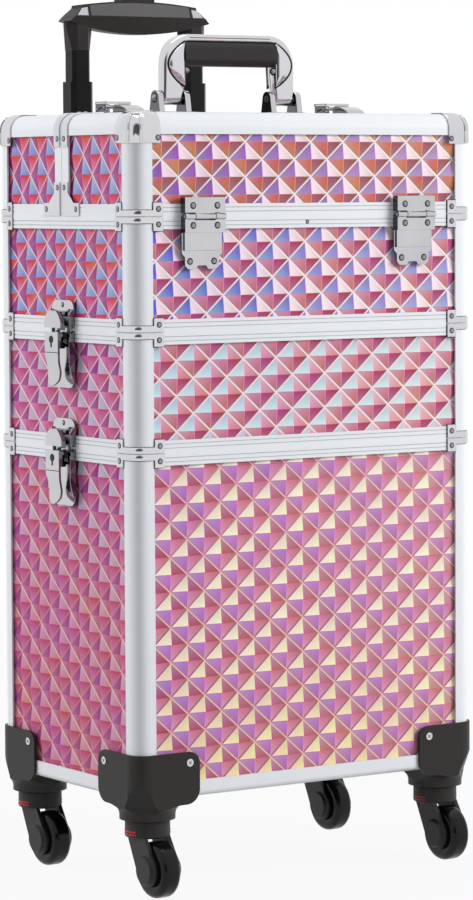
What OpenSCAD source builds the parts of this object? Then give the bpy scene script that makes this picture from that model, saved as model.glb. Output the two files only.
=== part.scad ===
// Rolling makeup case: a wheeled bin, a lift-off middle tier and a lift-off top case whose lid
// is split into a front and a rear half. Millimetres, +Z up, the floor at Z = 0, the front at -Y.

/* [Case] */
// Width of the case across its front
case_width = 350; // [330:1:390]
// Depth of the case from front to back
case_depth = 228; // [218:1:250]
// Height of the underside of the case above the floor
case_lift = 83.5; // [82:0.5:92]
// Height of the bottom bin
bin_height = 292; // [280:1:310]
// Height of the middle tier
middle_height = 101; // [95:1:130]
// Height of the top tier under the lid
top_height = 96; // [92:1:120]
// Height of the split lid
lid_height = 87; // [80:1:100]
// Distance of the lid's split behind the middle of the depth
split_offset = 2; // [0:0.5:3]
// Thickness of the wall boards with their embossed film
board = 6; // [5:0.5:7]
// Thickness of the floor boards
floor_board = 5; // [4:0.5:7]

/* [Embossed film] */
// Width of one pyramid of the film on the front, back and top
pyramid_wide = 33.5; // [24:0.5:44]
// Height of one pyramid of the film on the walls
pyramid_tall = 29.6; // [20:0.1:40]
// Width of one pyramid of the film on the left and right sides
pyramid_side = 33.5; // [20:0.5:40]
// Relief of the pyramids
relief = 1.8; // [1:0.1:2.4]

/* [Extrusions] */
// Outer radius of the corner posts and of the lid's top edges
post_radius = 13; // [12:0.5:15]
// Reach of a corner post over each face
post_flange = 18.5; // [17:0.5:22]
// Wall of the extrusions
skin = 1.6; // [1.2:0.1:2]
// Height of a seam rail above or below its seam
rail_height = 10.5; // [9:0.5:13]
// Height of the rail under the bin's walls
foot_rail_height = 14; // [12:0.5:18]
// Thickness of a rail where it closes the edge of a board
rail_web = 2.5; // [2:0.1:3]
// Height of the locating tongue inside each rim
tongue_height = 3; // [2:0.5:3.5]
// Width of the upright beside the lid's split
split_post = 11; // [9:0.5:14]

/* [Corner fittings] */
// Thickness of the chrome sheet fittings
chrome = 1.2; // [0.8:0.1:1.6]
// Reach of a seam brace along each face
brace_reach = 28; // [24:1:34]
// Height of one seam brace
brace_height = 11.5; // [9:0.5:13]
// Reach of a top corner cap along each edge
cap_reach = 26; // [22:1:32]
// Wall of the plastic bottom corners
corner_wall = 2.6; // [2:0.1:3.4]
// Reach of the plastic bottom corners along each face
corner_reach = 60; // [52:1:70]
// Height of the plastic bottom corners on the walls
corner_height = 39; // [34:1:50]
// Depth of the plastic bottom corners below the case
shoe_drop = 5.5; // [4:0.5:7]

/* [Casters] */
// Inset of a caster's swivel axis from the case's faces
caster_inset = 24; // [23.5:0.5:30]
// Diameter of a wheel
wheel_diameter = 48; // [46:0.5:48]
// Width of a wheel
wheel_width = 18; // [14:0.5:20]
// Distance from the swivel axis to the wheel's axle
caster_trail = 17; // [16:0.5:20]
// Radius of the neck under a bottom corner
neck_radius = 23.8; // [21:0.1:25]
// Radius of the swivel head
swivel_radius = 19.2; // [17:0.1:20.5]
// Height of the swivel head
swivel_height = 15; // [13:0.5:15]
// Radius of the swivel stem
stem_radius = 5; // [4:0.5:6]
// Radius of the axle
axle_radius = 3; // [2:0.5:4]

/* [Carry handle] */
// Half of the handle's outer width
handle_half = 69; // [64:0.5:76]
// Rise of the handle above its pivot
handle_rise = 55.5; // [50:0.5:64]
// Width of a handle leg
leg_width = 21; // [18:0.5:24]
// Thickness of the handle's chrome bar
bar_thick = 6; // [5:0.5:8]
// Distance of the handle behind the lid's split
handle_back = 10; // [9:0.5:14]
// Height of the pivot above the lid
handle_pivot = 15; // [14:0.5:18]

/* [Trolley] */
// Distance of the trolley tubes behind the case
trolley_back = 51; // [46:0.5:56]
// Half of the distance between the trolley tubes
trolley_half = 61; // [56:0.5:68]
// Width of the lower moving tubes
tube_wide = 23; // [22:0.5:24]
// Depth of the lower moving tubes
tube_deep = 22; // [21:0.5:23]
// Wall of the tubes
tube_wall = 1.9; // [1.6:0.1:2.2]
// Height of the top of the grip
grip_top = 766; // [756:1:776]
// Distance from the top of the lower moving tubes up to the top of the grip
grip_stand = 73.5; // [70:0.5:80]

/* [Latches and hinges] */
// Distance of a hinge's middle from the end of the case
hinge_inset = 66; // [60:1:76]
// Distance of a top latch's middle from the end of the case
lid_latch_inset = 60; // [54:1:70]
// Width of a hinge
hinge_width = 40; // [34:1:46]
// Distance of the hinge axis in front of the face
hinge_out = 6.2; // [5.8:0.1:6.6]
// Half width of a side latch
latch_half = 18; // [17.5:0.5:20]

/* [Clearances] */
// Gap between a pin and the bore that turns on it, on the radius
pin_gap = 0.05; // [0.03:0.01:0.08]
// Gap between parts that slide or turn past each other
slide_gap = 0.3; // [0.25:0.05:0.4]
// Gap between the embossed film and the extrusion over it
film_gap = 0.1; // [0.05:0.05:0.2]
// Gap where one extrusion butts against another
butt_gap = 0.1; // [0.05:0.05:0.2]

/* [Hidden] */
$fn = 64;
wall = skin + board + skin;
lip_out = wall + slide_gap;
lip_thick = 1.2;
floor_rise = tongue_height + 1;
seam_low = case_lift + bin_height;
seam_mid = seam_low + middle_height;
seam_top = seam_mid + top_height;
case_top = seam_top + lid_height;
half_wide = case_width / 2;
half_deep = case_depth / 2;
split = split_offset;
trolley_y = half_deep + trolley_back;
hinge_place = half_wide - hinge_inset;
lid_latch_place = half_wide - lid_latch_inset;
lower_tube_top = grip_top - grip_stand;
knuckle = 2.6;
socket_wall = 3.5;
sleeve_wide = tube_wide + 2 * slide_gap + 2 * tube_wall;
sleeve_deep = tube_deep + 2 * slide_gap + 2 * tube_wall;
wheel_radius = wheel_diameter / 2;
front_reach = max(half_deep + hinge_out + knuckle, half_deep - caster_inset + caster_trail + wheel_radius);
rear_reach = trolley_y + sleeve_deep / 2 + socket_wall;
shift = (front_reach - rear_reach) / 2;

aluminium = [0.87, 0.88, 0.9];
bright = [0.8, 0.81, 0.83];
black = [0.09, 0.09, 0.1];
pink = [0.78, 0.47, 0.6];

// Placement of everything: the box around the part is centred on the origin
module placed() translate([0, shift, 0]) children();

// A face fitting is drawn with X along the face, Y up and Z outward
module on_front() translate([0, -half_deep, 0]) rotate([90, 0, 0]) children();
module on_rear() translate([0, half_deep, 0]) rotate([90, 0, 180]) children();
module on_side(s) translate([s * half_wide, 0, 0]) rotate([90, 0, s * 90]) children();

// The four vertical corners of the case, each with the inside towards -X and -Y
module at_corners() for (k = [0 : 3])
  translate([(k == 0 || k == 3 ? 1 : -1) * half_wide, (k < 2 ? 1 : -1) * half_deep, 0])
    rotate(90 * k) children();

// A run along X from -length/2 to length/2 with the profile's X inward (+Y) and its Y up
module run(length) translate([-length / 2, 0, 0]) rotate([90, 0, 90]) linear_extrude(length) children();

// Square with one round corner at the origin, inside towards -X and -Y
module round_corner(reach, radius) difference() {
  translate([-reach, -reach]) square(reach);
  difference() {
    translate([-radius, -radius]) square(radius + 1);
    translate([-radius, -radius]) circle(radius);
  }
}

// Corner post: a round outer corner, two slots for the boards and a hollow core
module post_profile() difference() {
  round_corner(post_flange, post_radius);
  translate([-post_flange - 1, -post_flange - 1]) square(post_flange + 1 - wall);
  translate([-post_flange - 1, -skin - board]) square([post_flange + 1 - post_radius, board]);
  translate([-skin - board, -post_flange - 1]) square([board, post_flange + 1 - post_radius]);
  translate([-post_radius * 0.55, -post_radius * 0.55]) square(4.5, center = true);
}

// Channel that closes the edge of a board
module channel_profile(height) {
  square([skin, height]);
  square([wall, rail_web]);
  translate([skin + board, 0]) square([skin, height - 2.5]);
}

// Rail at a seam: a channel with two flutes outside
module rail_profile(height) difference() {
  channel_profile(height);
  for (flute = [0.34, 0.68]) translate([-1, height * flute]) square([1.5, 0.8]);
}

// Rail under the bin: a channel with its lower outer edge round
module foot_profile(height) difference() {
  soft = 5;
  channel_profile(height);
  difference() {
    translate([-1, -1]) square(soft + 1);
    translate([soft, soft]) circle(soft);
  }
}

// Rim channel: a seam rail with a tongue that locates the tier above
module rim_profile(height) {
  rail_profile(height);
  translate([wall, 0]) square([lip_out + lip_thick - wall, rail_web]);
  translate([lip_out, -tongue_height]) square([lip_thick, tongue_height + 0.5]);
}

// Rails on the four sides, up from the level z or, mirrored, down from it
module rails(z, height, down, foot = false) for (k = [0 : 3]) {
  across = k % 2 == 0;
  length = (across ? case_width : case_depth) - 2 * (post_flange + butt_gap);
  rotate(90 * k) translate([0, across ? -half_deep : -half_wide, z]) run(length)
    if (down) mirror([0, 1]) rim_profile(height);
    else if (foot) foot_profile(height);
    else rail_profile(height);
}

// Board with an embossed outer face: rows of pyramids between crossed valleys.
// X runs along the board, Y up it and Z outward, with the back face at Z = 0.
module embossed(width, height, pitch_x, pitch_y) {
  nx = round(2 * width / pitch_x);
  ny = round(2 * height / pitch_y);
  peak = board - film_gap;
  stride = nx + 1;
  face = [for (j = [0 : ny]) for (i = [0 : nx])
    [width * i / nx, height * j / ny, (i + j) % 2 == 0 ? peak - relief : peak]];
  rim = concat([for (i = [0 : nx - 1]) i], [for (j = [0 : ny - 1]) j * stride + nx],
    [for (i = [nx : -1 : 1]) ny * stride + i], [for (j = [ny : -1 : 1]) j * stride]);
  count = len(face);
  around = len(rim);
  points = concat(face, [for (k = rim) [face[k][0], face[k][1], 0]], [[width / 2, height / 2, 0]]);
  tiles = [for (j = [0 : ny - 1]) for (i = [0 : nx - 1]) for (half = [0, 1])
    let (a = j * stride + i, b = a + 1, c = b + stride, d = a + stride)
      (i + j) % 2 == 0 ? (half == 0 ? [a, c, b] : [a, d, c]) : (half == 0 ? [a, d, b] : [b, d, c])];
  sides = [for (k = [0 : around - 1]) for (half = [0, 1])
    let (next = (k + 1) % around)
      half == 0 ? [count + k, rim[next], count + next] : [count + k, rim[k], rim[next]]];
  backs = [for (k = [0 : around - 1]) [count + around, count + k, count + (k + 1) % around]];
  polyhedron(points, concat(tiles, sides, backs), convexity = 4);
}

// The four walls and the floor of a tier between two levels
module tier_boards(low, high, floor_at) {
  tall = high - low - 2 * rail_web;
  wide = case_width - 2 * post_radius;
  deep = case_depth - 2 * post_radius;
  for (k = [0 : 3]) {
    across = k % 2 == 0;
    length = across ? wide : deep;
    rotate(90 * k) translate([-length / 2, (across ? -half_deep : -half_wide) + skin + board, low + rail_web])
      rotate([90, 0, 0])
        embossed(length, tall, across ? pyramid_wide : pyramid_side, pyramid_tall);
  }
  translate([wall - half_wide, wall - half_deep, floor_at])
    cube([case_width - 2 * wall, case_depth - 2 * wall, floor_board]);
}

// Posts and rails of a tier between two levels; the bin's posts stand on the solid corners of its shoes
module tier_frame(low, high, low_rail, foot = false) {
  start = foot ? low + post_lift : low;
  at_corners() translate([0, 0, start]) linear_extrude(high - start) post_profile();
  rails(low, low_rail, false, foot);
  rails(high, rail_height, true);
}

// Chrome sheet bent round a corner post
module bent_sheet(reach, thick) difference() {
  translate([thick, thick]) round_corner(reach + thick, post_radius + thick);
  round_corner(reach + 2 * thick + 1, post_radius);
}

// Brace at a seam: two wings for the rivets and a narrower band round the post, beside the seam
module brace(up) difference() {
  band = brace_height * 0.45;
  linear_extrude(brace_height) bent_sheet(brace_reach, chrome);
  translate([-post_flange, -post_flange, up ? band : -1])
    cube([post_flange + 2 * chrome, post_flange + 2 * chrome, brace_height - band + 1]);
}

module braces_above(z) at_corners() translate([0, 0, z + slide_gap]) brace(true);
module braces_below(z) at_corners() translate([0, 0, z - brace_height - slide_gap]) brace(false);

// Bin

module bin_boards() color(pink) placed() tier_boards(case_lift, seam_low, case_lift + rail_web);

module bin_frame() color(aluminium) placed() tier_frame(case_lift, seam_low, foot_rail_height, true);

module bin_braces() color(bright) placed() braces_below(seam_low);

screw_inset = 50;
screw_head = 3.3;
screw_shank = 1.5;
screw_rise = 30;
neck_drop = 12.5;
neck_flare = 9;
post_lift = 16;
draw_rise = 13.5;
shoe_low = case_lift - shoe_drop;
neck_low = shoe_low - neck_drop;

// Plastic shoe over a bottom corner, drawn in to a round neck with the socket for a caster
module corner_shoe() difference() {
  union() {
    translate([0, 0, shoe_low]) linear_extrude(shoe_drop + corner_height) intersection() {
      bent_sheet(corner_reach, corner_wall);
      translate([-post_flange, -post_flange]) square(post_flange + corner_wall + 1);
    }
    translate([0, 0, shoe_low]) linear_extrude(shoe_drop + post_lift - butt_gap) difference() {
      intersection() {
        translate([-post_radius, -post_radius]) circle(post_radius + 1);
        translate([butt_gap - post_radius, butt_gap - post_radius]) square(post_radius + corner_wall);
      }
      translate([-post_radius, -post_radius]) square(post_radius + slide_gap - wall);
    }
    shoe_side();
    mirror([1, -1, 0]) shoe_side();
    translate([0, 0, shoe_low]) linear_extrude(shoe_drop) shoe_plan();
    intersection() {
      translate([-caster_inset, -caster_inset, neck_low]) rotate_extrude() {
        square([neck_radius, neck_drop + 1]);
        difference() {
          translate([neck_radius - 1, neck_drop - neck_flare]) square([neck_flare + 1, neck_flare]);
          translate([neck_radius + neck_flare, neck_drop - neck_flare]) circle(neck_flare);
        }
      }
      translate([0, 0, neck_low]) linear_extrude(neck_drop + 1) shoe_plan();
    }
  }
  shoe_draw();
  translate([-caster_inset, -caster_inset, neck_low - 1])
    cylinder(r = stem_radius + pin_gap, h = neck_drop + shoe_drop);
  for (turn = [0, 1]) mirror([turn, -turn, 0])
    translate([-screw_inset, corner_wall + 1, case_lift + screw_rise])
      rotate([90, 0, 0]) {
        cylinder(r = screw_head + slide_gap, h = 2);
        cylinder(r = screw_shank + pin_gap, h = corner_wall + 2);
      }
}

// What is cut off a shoe's corner, so that it draws in to the neck
module shoe_draw() {
  corner = post_radius + corner_wall - post_radius * sqrt(2);
  throat = neck_radius + butt_gap - caster_inset * sqrt(2);
  far = corner_reach;
  rotate(45) rotate([90, 0, 0]) translate([0, 0, -far]) linear_extrude(2 * far)
    polygon([[corner, case_lift + draw_rise], [far, case_lift + draw_rise], [far, neck_low - 1],
      [throat, neck_low - 1], [throat, shoe_low]]);
}

// Plan of a shoe's floor
module shoe_plan() translate([corner_wall, corner_wall])
  round_corner(caster_inset + neck_radius + corner_wall + slide_gap, post_radius + corner_wall);

// Side of a shoe along the face at Y = 0, its far corners round
module shoe_side() translate([0, corner_wall, shoe_low]) rotate([90, 0, 0]) linear_extrude(corner_wall) {
  tall = shoe_drop + corner_height;
  low_round = 13;
  high_round = 10;
  translate([low_round - corner_reach, 0]) square([corner_reach - low_round - post_radius, tall]);
  translate([-corner_reach, low_round]) square([low_round + 1, tall - low_round - high_round]);
  translate([low_round - corner_reach, low_round]) circle(low_round);
  translate([high_round - corner_reach, tall - high_round]) circle(high_round);
  translate([high_round - corner_reach, tall - high_round - 1]) square([low_round, high_round + 1]);
}

module corner_shoes() color(black) placed() at_corners() corner_shoe();

module shoe_screws() color(bright) placed() at_corners() for (turn = [0, 1]) mirror([turn, -turn, 0])
  translate([-screw_inset, corner_wall + 0.6, case_lift + screw_rise]) rotate([90, 0, 0]) {
    cylinder(r = screw_head, h = 1.6);
    cylinder(r = screw_shank, h = corner_wall + 0.6);
  }

// Casters

head_low = neck_low - slide_gap - swivel_height;
arm_gap = 0.6;
arm_thick = 3.5;
arm_in = wheel_width / 2 + arm_gap;
fork_boss = 14.5;
boss_rise = 2.5;

module at_caster(sx, sy)
  translate([sx * (half_wide - caster_inset), sy * (half_deep - caster_inset), 0]) children();

// Head, stem, two arms and axle; the wheel trails towards the front
module fork() {
  difference() {
    union() {
      translate([0, 0, head_low]) rotate_extrude() {
        square([swivel_radius - 1.5, swivel_height]);
        translate([0, 1.5]) square([swivel_radius, swivel_height - 3]);
        for (y = [1.5, swivel_height - 1.5]) translate([swivel_radius - 1.5, y]) circle(1.5, $fn = 24);
      }
      translate([0, 0, head_low + swivel_height - 1])
        cylinder(r = stem_radius, h = neck_drop + shoe_drop - 2);
      for (s = [-1, 1]) translate([s > 0 ? arm_in : -arm_in - arm_thick, 0, 0])
        rotate([90, 0, 90]) linear_extrude(arm_thick) {
          polygon([[swivel_radius - 6, head_low + 4], [6 - swivel_radius, head_low + 4],
            [-caster_trail - fork_boss + 2, wheel_radius + 6], [-caster_trail + fork_boss - 5, wheel_radius - 11]]);
          translate([-caster_trail, wheel_radius]) circle(fork_boss);
        }
      for (s = [-1, 1]) translate([s * (arm_in + arm_thick), -caster_trail, wheel_radius])
        rotate([0, s * 90, 0]) cylinder(r1 = fork_boss - 1.5, r2 = fork_boss - 3.5, h = boss_rise);
    }
    translate([-arm_in - arm_thick - 5, -caster_trail, wheel_radius]) rotate([0, 90, 0])
      cylinder(r = axle_radius + pin_gap / 2, h = 2 * (arm_in + arm_thick + 5));
  }
  translate([-arm_in - arm_thick - boss_rise, -caster_trail, wheel_radius]) rotate([0, 90, 0])
    cylinder(r = axle_radius, h = 2 * (arm_in + arm_thick + boss_rise));
}

// Wheel with a round tread, a rim step and an axle bore
module wheel() translate([-wheel_width / 2, -caster_trail, wheel_radius]) rotate([0, 90, 0]) rotate_extrude() {
  bore = axle_radius + pin_gap;
  tread = wheel_width * 0.3;
  translate([bore, 0]) square([wheel_radius - 12 - bore, wheel_width]);
  translate([bore, 1.5]) square([wheel_radius - tread - bore, wheel_width - 3]);
  translate([wheel_radius - 10, 0]) square([10 - tread, wheel_width]);
  translate([wheel_radius - 10, tread]) square([10, wheel_width - 2 * tread]);
  for (y = [tread, wheel_width - tread]) translate([wheel_radius - tread, y]) circle(tread);
}

module front_left_fork() color(black) placed() at_caster(-1, -1) fork();
module front_right_fork() color(black) placed() at_caster(1, -1) fork();
module rear_left_fork() color(black) placed() at_caster(-1, 1) fork();
module rear_right_fork() color(black) placed() at_caster(1, 1) fork();
module front_left_wheel() color(black) placed() at_caster(-1, -1) wheel();
module front_right_wheel() color(black) placed() at_caster(1, -1) wheel();
module rear_left_wheel() color(black) placed() at_caster(-1, 1) wheel();
module rear_right_wheel() color(black) placed() at_caster(1, 1) wheel();

// Trolley

socket_tall = 36;
lower_socket = case_lift + 22;
upper_socket = seam_low - rail_height - socket_tall - 6;
sleeve_top = upper_socket + socket_tall + 3;
lower_tube_low = sleeve_top - 34;
upper_tube_low = lower_tube_low + 60;
upper_wide = tube_wide - 2 * tube_wall - 2 * slide_gap;
upper_deep = tube_deep - 2 * tube_wall - 2 * slide_gap;
chamfer = 4;
grip_leg_low = lower_tube_top + 28;

// Rectangle with chamfered corners, the section of the trolley tubes
module tube_section(wide, deep, cut) {
  x = wide / 2;
  y = deep / 2;
  polygon([[x, y - cut], [x - cut, y], [cut - x, y], [-x, y - cut],
    [-x, cut - y], [cut - x, -y], [x - cut, -y], [x, cut - y]]);
}

module tubes(wide, deep, cut, low, high) for (s = [-1, 1])
  translate([s * trolley_half, trolley_y, low]) linear_extrude(high - low) difference() {
    tube_section(wide, deep, cut);
    tube_section(wide - 2 * tube_wall, deep - 2 * tube_wall, cut - tube_wall * 0.586);
  }

// Two plastic stand-offs that hold the sleeves off the back of the bin
module trolley_brackets() color(black) placed() for (z = [lower_socket, upper_socket]) difference() {
  union() {
    translate([-trolley_half - 22, half_deep - skin, z]) cube([2 * trolley_half + 44, skin + 4, socket_tall]);
    for (s = [-1, 1]) translate([s * trolley_half, 0, z]) linear_extrude(socket_tall) {
      translate([0, trolley_y]) tube_section(sleeve_wide + 2 * socket_wall, sleeve_deep + 2 * socket_wall, chamfer + 2);
      translate([-9, half_deep + 3]) square([18, trolley_back - sleeve_deep / 2 - 3]);
    }
  }
  for (s = [-1, 1]) translate([s * trolley_half, trolley_y, z - 1]) linear_extrude(socket_tall + 2)
    tube_section(sleeve_wide, sleeve_deep, chamfer + 1);
}

module trolley_sleeves() color(black) placed()
  tubes(sleeve_wide, sleeve_deep, chamfer + 1, lower_socket - 4, sleeve_top);

module lower_tubes() color(black) placed()
  tubes(tube_wide, tube_deep, chamfer, lower_tube_low, lower_tube_top);

module upper_tubes() color(black) placed()
  tubes(upper_wide, upper_deep, chamfer - 1, upper_tube_low, grip_leg_low);

grip_shoulder = 13.5;
grip_half = trolley_half + grip_shoulder;
grip_chin = 22;
grip_deep = 24;
grip_thick = 30;
grip_waist = 15;
leg_half = 9.3;
leg_chamfer = 8.5;
button_half = 17;
button_deep = 8;
button_travel = 3;

// Arched bar with sloped shoulders and faceted faces on two tapered legs
module trolley_grip() color(black) placed() translate([0, trolley_y, 0]) difference() {
  union() {
    intersection() {
      translate([0, grip_deep / 2, 0]) rotate([90, 0, 0]) linear_extrude(grip_deep) grip_outline();
      run(2 * grip_half + 2) polygon([[-grip_deep / 2, grip_top - grip_waist], [-grip_deep / 2 + 5, grip_top],
        [grip_deep / 2 - 5, grip_top], [grip_deep / 2, grip_top - grip_waist],
        [grip_deep / 2 - 4, grip_top - grip_thick], [4 - grip_deep / 2, grip_top - grip_thick]]);
    }
    for (s = [0, 1]) mirror([s, 0, 0]) translate([trolley_half, 0, 0]) intersection() {
      translate([0, tube_deep / 2 - 1, 0]) rotate([90, 0, 0]) linear_extrude(tube_deep - 2)
        polygon([[-leg_half, grip_leg_low], [leg_half, grip_leg_low], [grip_shoulder, grip_top - grip_chin],
          [grip_shoulder - 4, grip_top - grip_waist], [-leg_half, grip_top - grip_waist],
          [-leg_half - 5.5, grip_top - grip_thick + 3]]);
      translate([0, 0, grip_leg_low]) linear_extrude(grip_top - grip_leg_low)
        tube_section(2 * grip_shoulder + 1, tube_deep - 2, leg_chamfer);
    }
  }
  translate([-button_half - slide_gap, -button_deep - slide_gap, grip_top - 8])
    cube([2 * (button_half + slide_gap), 2 * (button_deep + slide_gap), 20]);
}

module grip_outline() intersection() {
  crown = 420;
  belly = 260;
  translate([0, grip_top - crown]) circle(crown, $fn = 200);
  translate([0, grip_top - grip_thick + belly]) circle(belly, $fn = 200);
  polygon([[-grip_half, grip_top - grip_chin], [-grip_half, grip_top - grip_chin + 3], [13 - grip_half, grip_top - 7],
    [13 - grip_half, grip_top + 2], [grip_half - 13, grip_top + 2], [grip_half - 13, grip_top - 7],
    [grip_half, grip_top - grip_chin + 3], [grip_half, grip_top - grip_chin], [trolley_half, grip_top - grip_thick],
    [-trolley_half, grip_top - grip_thick]]);
}

module trolley_button() color(black) placed() translate([0, trolley_y, grip_top - 8 + button_travel + slide_gap])
  difference() {
    translate([-button_half, -button_deep, 0]) cube([2 * button_half, 2 * button_deep, 10]);
    for (s = [-1, 1]) translate([s * (button_half + 1), 0, 10]) rotate([0, s * 45, 0]) cube([6, 40, 6], center = true);
  }

// Middle tier

module middle_boards() color(pink) placed() tier_boards(seam_low, seam_mid, seam_low + floor_rise);

module middle_frame() color(aluminium) placed() tier_frame(seam_low, seam_mid, rail_height);

module middle_braces() color(bright) placed() {
  braces_above(seam_low);
  braces_below(seam_mid);
}

// Top case under the lid

module top_boards() color(pink) placed() tier_boards(seam_mid, seam_top, seam_mid + floor_rise);

module top_frame() color(aluminium) placed() tier_frame(seam_mid, seam_top, rail_height);

module top_braces() color(bright) placed() {
  braces_above(seam_mid);
  braces_below(seam_top);
}

// Draw latches on the left and right sides

lever_pivot_y = -5;
lever_pivot_z = 6;
lever_top = -2;
key_cover = 11.2;
key_foot = -20;
leaf_half = 9.6;
rim_thick = 1.3;
rim_rise = 6;
base_low = -42;
base_seat = 46;
plate_round = 8;
keeper_high = 17;
keeper_seat = 12;
catch_pivot_y = -10;
catch_pivot_z = 4;
latch_pin = 1.5;
cover_z = 9.2;
cover_thick = 2;
lever_half = 11;
lever_length = 48;
catch_wide = 13.4;
catch_wall = 2.4;
catch_eye = 2.2;
catch_top = 17;
catch_rise = 9.6;
lug_thick = 2.7;
lug_eye = 2.7;
lug_front = 2;
lug_out = lever_half - 2 - slide_gap;
keeper_lip = 9;

// Side wall of a latch plate, a profile with Y up and Z outward
module latch_rims() for (s = [-1, 1]) translate([s > 0 ? latch_half - rim_thick : -latch_half, 0, 0])
  rotate([90, 0, 90]) linear_extrude(rim_thick) children();

// Plate on the lower tier with raised sides and two lugs for the lever's pin
module latch_base() difference() {
  union() {
    linear_extrude(1.5) {
      translate([-latch_half, base_low]) square([2 * latch_half, -base_low - 1]);
      translate([-latch_half + plate_round, base_low - plate_round])
        square([2 * (latch_half - plate_round), plate_round + 1]);
      for (s = [-1, 1]) translate([s * (latch_half - plate_round), base_low]) circle(plate_round);
    }
    translate([-latch_half + 3, -base_seat, -skin])
      cube([2 * latch_half - 6, base_seat - rail_height - 1, skin + 1]);
    latch_rims() polygon([[base_low, 1], [-3, 1], [-3, rim_rise - 1], [-4, rim_rise], [base_low + 12, rim_rise],
      [base_low, rim_rise / 2]]);
    for (s = [-1, 1]) translate([s > 0 ? lug_out - lug_thick : -lug_out, 0, 0]) rotate([90, 0, 90]) linear_extrude(lug_thick) {
      translate([lever_pivot_y, lever_pivot_z]) circle(lug_eye);
      polygon([[-9, 1], [lever_pivot_y + lug_front, 1], [lever_pivot_y + lug_front, lever_pivot_z],
        [-7.5, lever_pivot_z]]);
    }
  }
  translate([-20, lever_pivot_y, lever_pivot_z]) rotate([0, 90, 0]) cylinder(r = latch_pin + pin_gap, h = 40);
}

// Plate on the upper tier with the lip that the catch draws down
module latch_keeper() {
  linear_extrude(1.5) {
    translate([-latch_half, 1]) square([2 * latch_half, keeper_high - 1]);
    translate([-latch_half + plate_round, keeper_high - 1])
      square([2 * (latch_half - plate_round), plate_round + 1]);
    for (s = [-1, 1]) translate([s * (latch_half - plate_round), keeper_high]) circle(plate_round);
  }
  translate([-latch_half + 4, rail_height + 1, -skin]) cube([2 * latch_half - 8, keeper_seat, skin + 1]);
  latch_rims() polygon([[3, 1], [keeper_high, 1], [keeper_high, rim_rise / 2], [keeper_high - 4, rim_rise],
    [4, rim_rise], [3, rim_rise - 1]]);
  translate([-keeper_lip, 0, 0]) rotate([90, 0, 90]) linear_extrude(2 * keeper_lip)
    polygon([[10, 1], [16, 1], [15, 5], [12, 5]]);
}

// Lever with a keyed cover that bends into a leaf, two cheeks, its pin and the studs for the catch
module latch_lever() difference() {
  union() {
    intersection() {
      translate([-lever_half, 0, 0]) rotate([90, 0, 90]) linear_extrude(2 * lever_half) lever_side();
      linear_extrude(key_cover + 3 * cover_thick) lever_outline();
    }
    for (s = [-1, 1]) translate([s > 0 ? lever_half - 2 : -lever_half, 0, 0])
      rotate([90, 0, 90]) linear_extrude(2) {
        translate([-16, 6]) square([12.5, key_cover - 6 + 0.5]);
        translate([-14, 2.2]) square([10.5, 4]);
      }
    translate([-lever_half, lever_pivot_y, lever_pivot_z]) rotate([0, 90, 0]) cylinder(r = latch_pin, h = 2 * lever_half);
    for (s = [-1, 1]) translate([s > 0 ? lever_half - 1 : -catch_wide, catch_pivot_y, catch_pivot_z])
      rotate([0, 90, 0]) cylinder(r = latch_pin, h = catch_wide - lever_half + 1);
  }
  translate([-lever_half - 1, key_foot, key_cover + cover_thick - 0.7]) cube([2 * lever_half + 2, 0.8, 2]);
  translate([0, -8.5, key_cover - 1]) cylinder(r = 2.6, h = 5);
  translate([-0.9, -14, key_cover - 1]) cube([1.8, 5, 5]);
}

// Lever from its side, Y up: the flat cover, then a leaf bent towards the wall whose tip curls out
module lever_side() {
  low = -lever_length;
  polygon([[lever_top, key_cover], [lever_top, key_cover + cover_thick], [key_foot - 2, key_cover + cover_thick],
    [low + 12, key_cover - 0.6], [low + 5, key_cover], [low, key_cover + cover_thick],
    [low, key_cover + 0.2], [low + 5, key_cover - cover_thick], [low + 12, key_cover - 0.6 - cover_thick],
    [key_foot - 2, key_cover]]);
}

// Lever from outside: a square cover and a narrower leaf with a round tip
module lever_outline() {
  translate([-lever_half, key_foot - 2]) square([2 * lever_half, lever_top - key_foot + 2]);
  polygon([[-lever_half, key_foot - 2], [lever_half, key_foot - 2], [leaf_half, key_foot - 8],
    [leaf_half, leaf_half - lever_length], [-leaf_half, leaf_half - lever_length], [-leaf_half, key_foot - 8]]);
  translate([0, leaf_half - lever_length]) circle(leaf_half);
}

// Catch that the lever draws down over the keeper's lip, with an arched head
module latch_catch() difference() {
  union() {
    for (s = [-1, 1]) translate([s > 0 ? lever_half + 0.4 : -catch_wide, 0, 0])
      rotate([90, 0, 90]) linear_extrude(catch_wide - lever_half - 0.4) {
        translate([catch_pivot_y, catch_pivot_z]) circle(catch_eye);
        translate([catch_pivot_y, 2.4]) square([13, 3.2]);
      }
    intersection() {
      translate([-catch_wide, 0, 0]) rotate([90, 0, 90]) linear_extrude(2 * catch_wide) {
        translate([1.6, 2.4]) square([catch_top - 3.5, catch_rise]);
        translate([catch_top - 3, 2.4]) square([3, catch_rise - 3]);
        translate([catch_top - 3, catch_rise - 0.6]) circle(3);
      }
      linear_extrude(2 * catch_rise) {
        translate([-catch_wide, 0]) square([2 * catch_wide, catch_top - catch_wide]);
        translate([0, catch_top - catch_wide]) circle(catch_wide);
      }
    }
  }
  translate([-20, catch_pivot_y, catch_pivot_z]) rotate([0, 90, 0]) cylinder(r = latch_pin + pin_gap, h = 40);
  translate([catch_wall - catch_wide, -1, 0]) cube([2 * (catch_wide - catch_wall), 2 * catch_top, catch_rise - 0.6]);
}

module at_latch(s, z) placed() on_side(s) translate([0, z, 0]) children();

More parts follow.
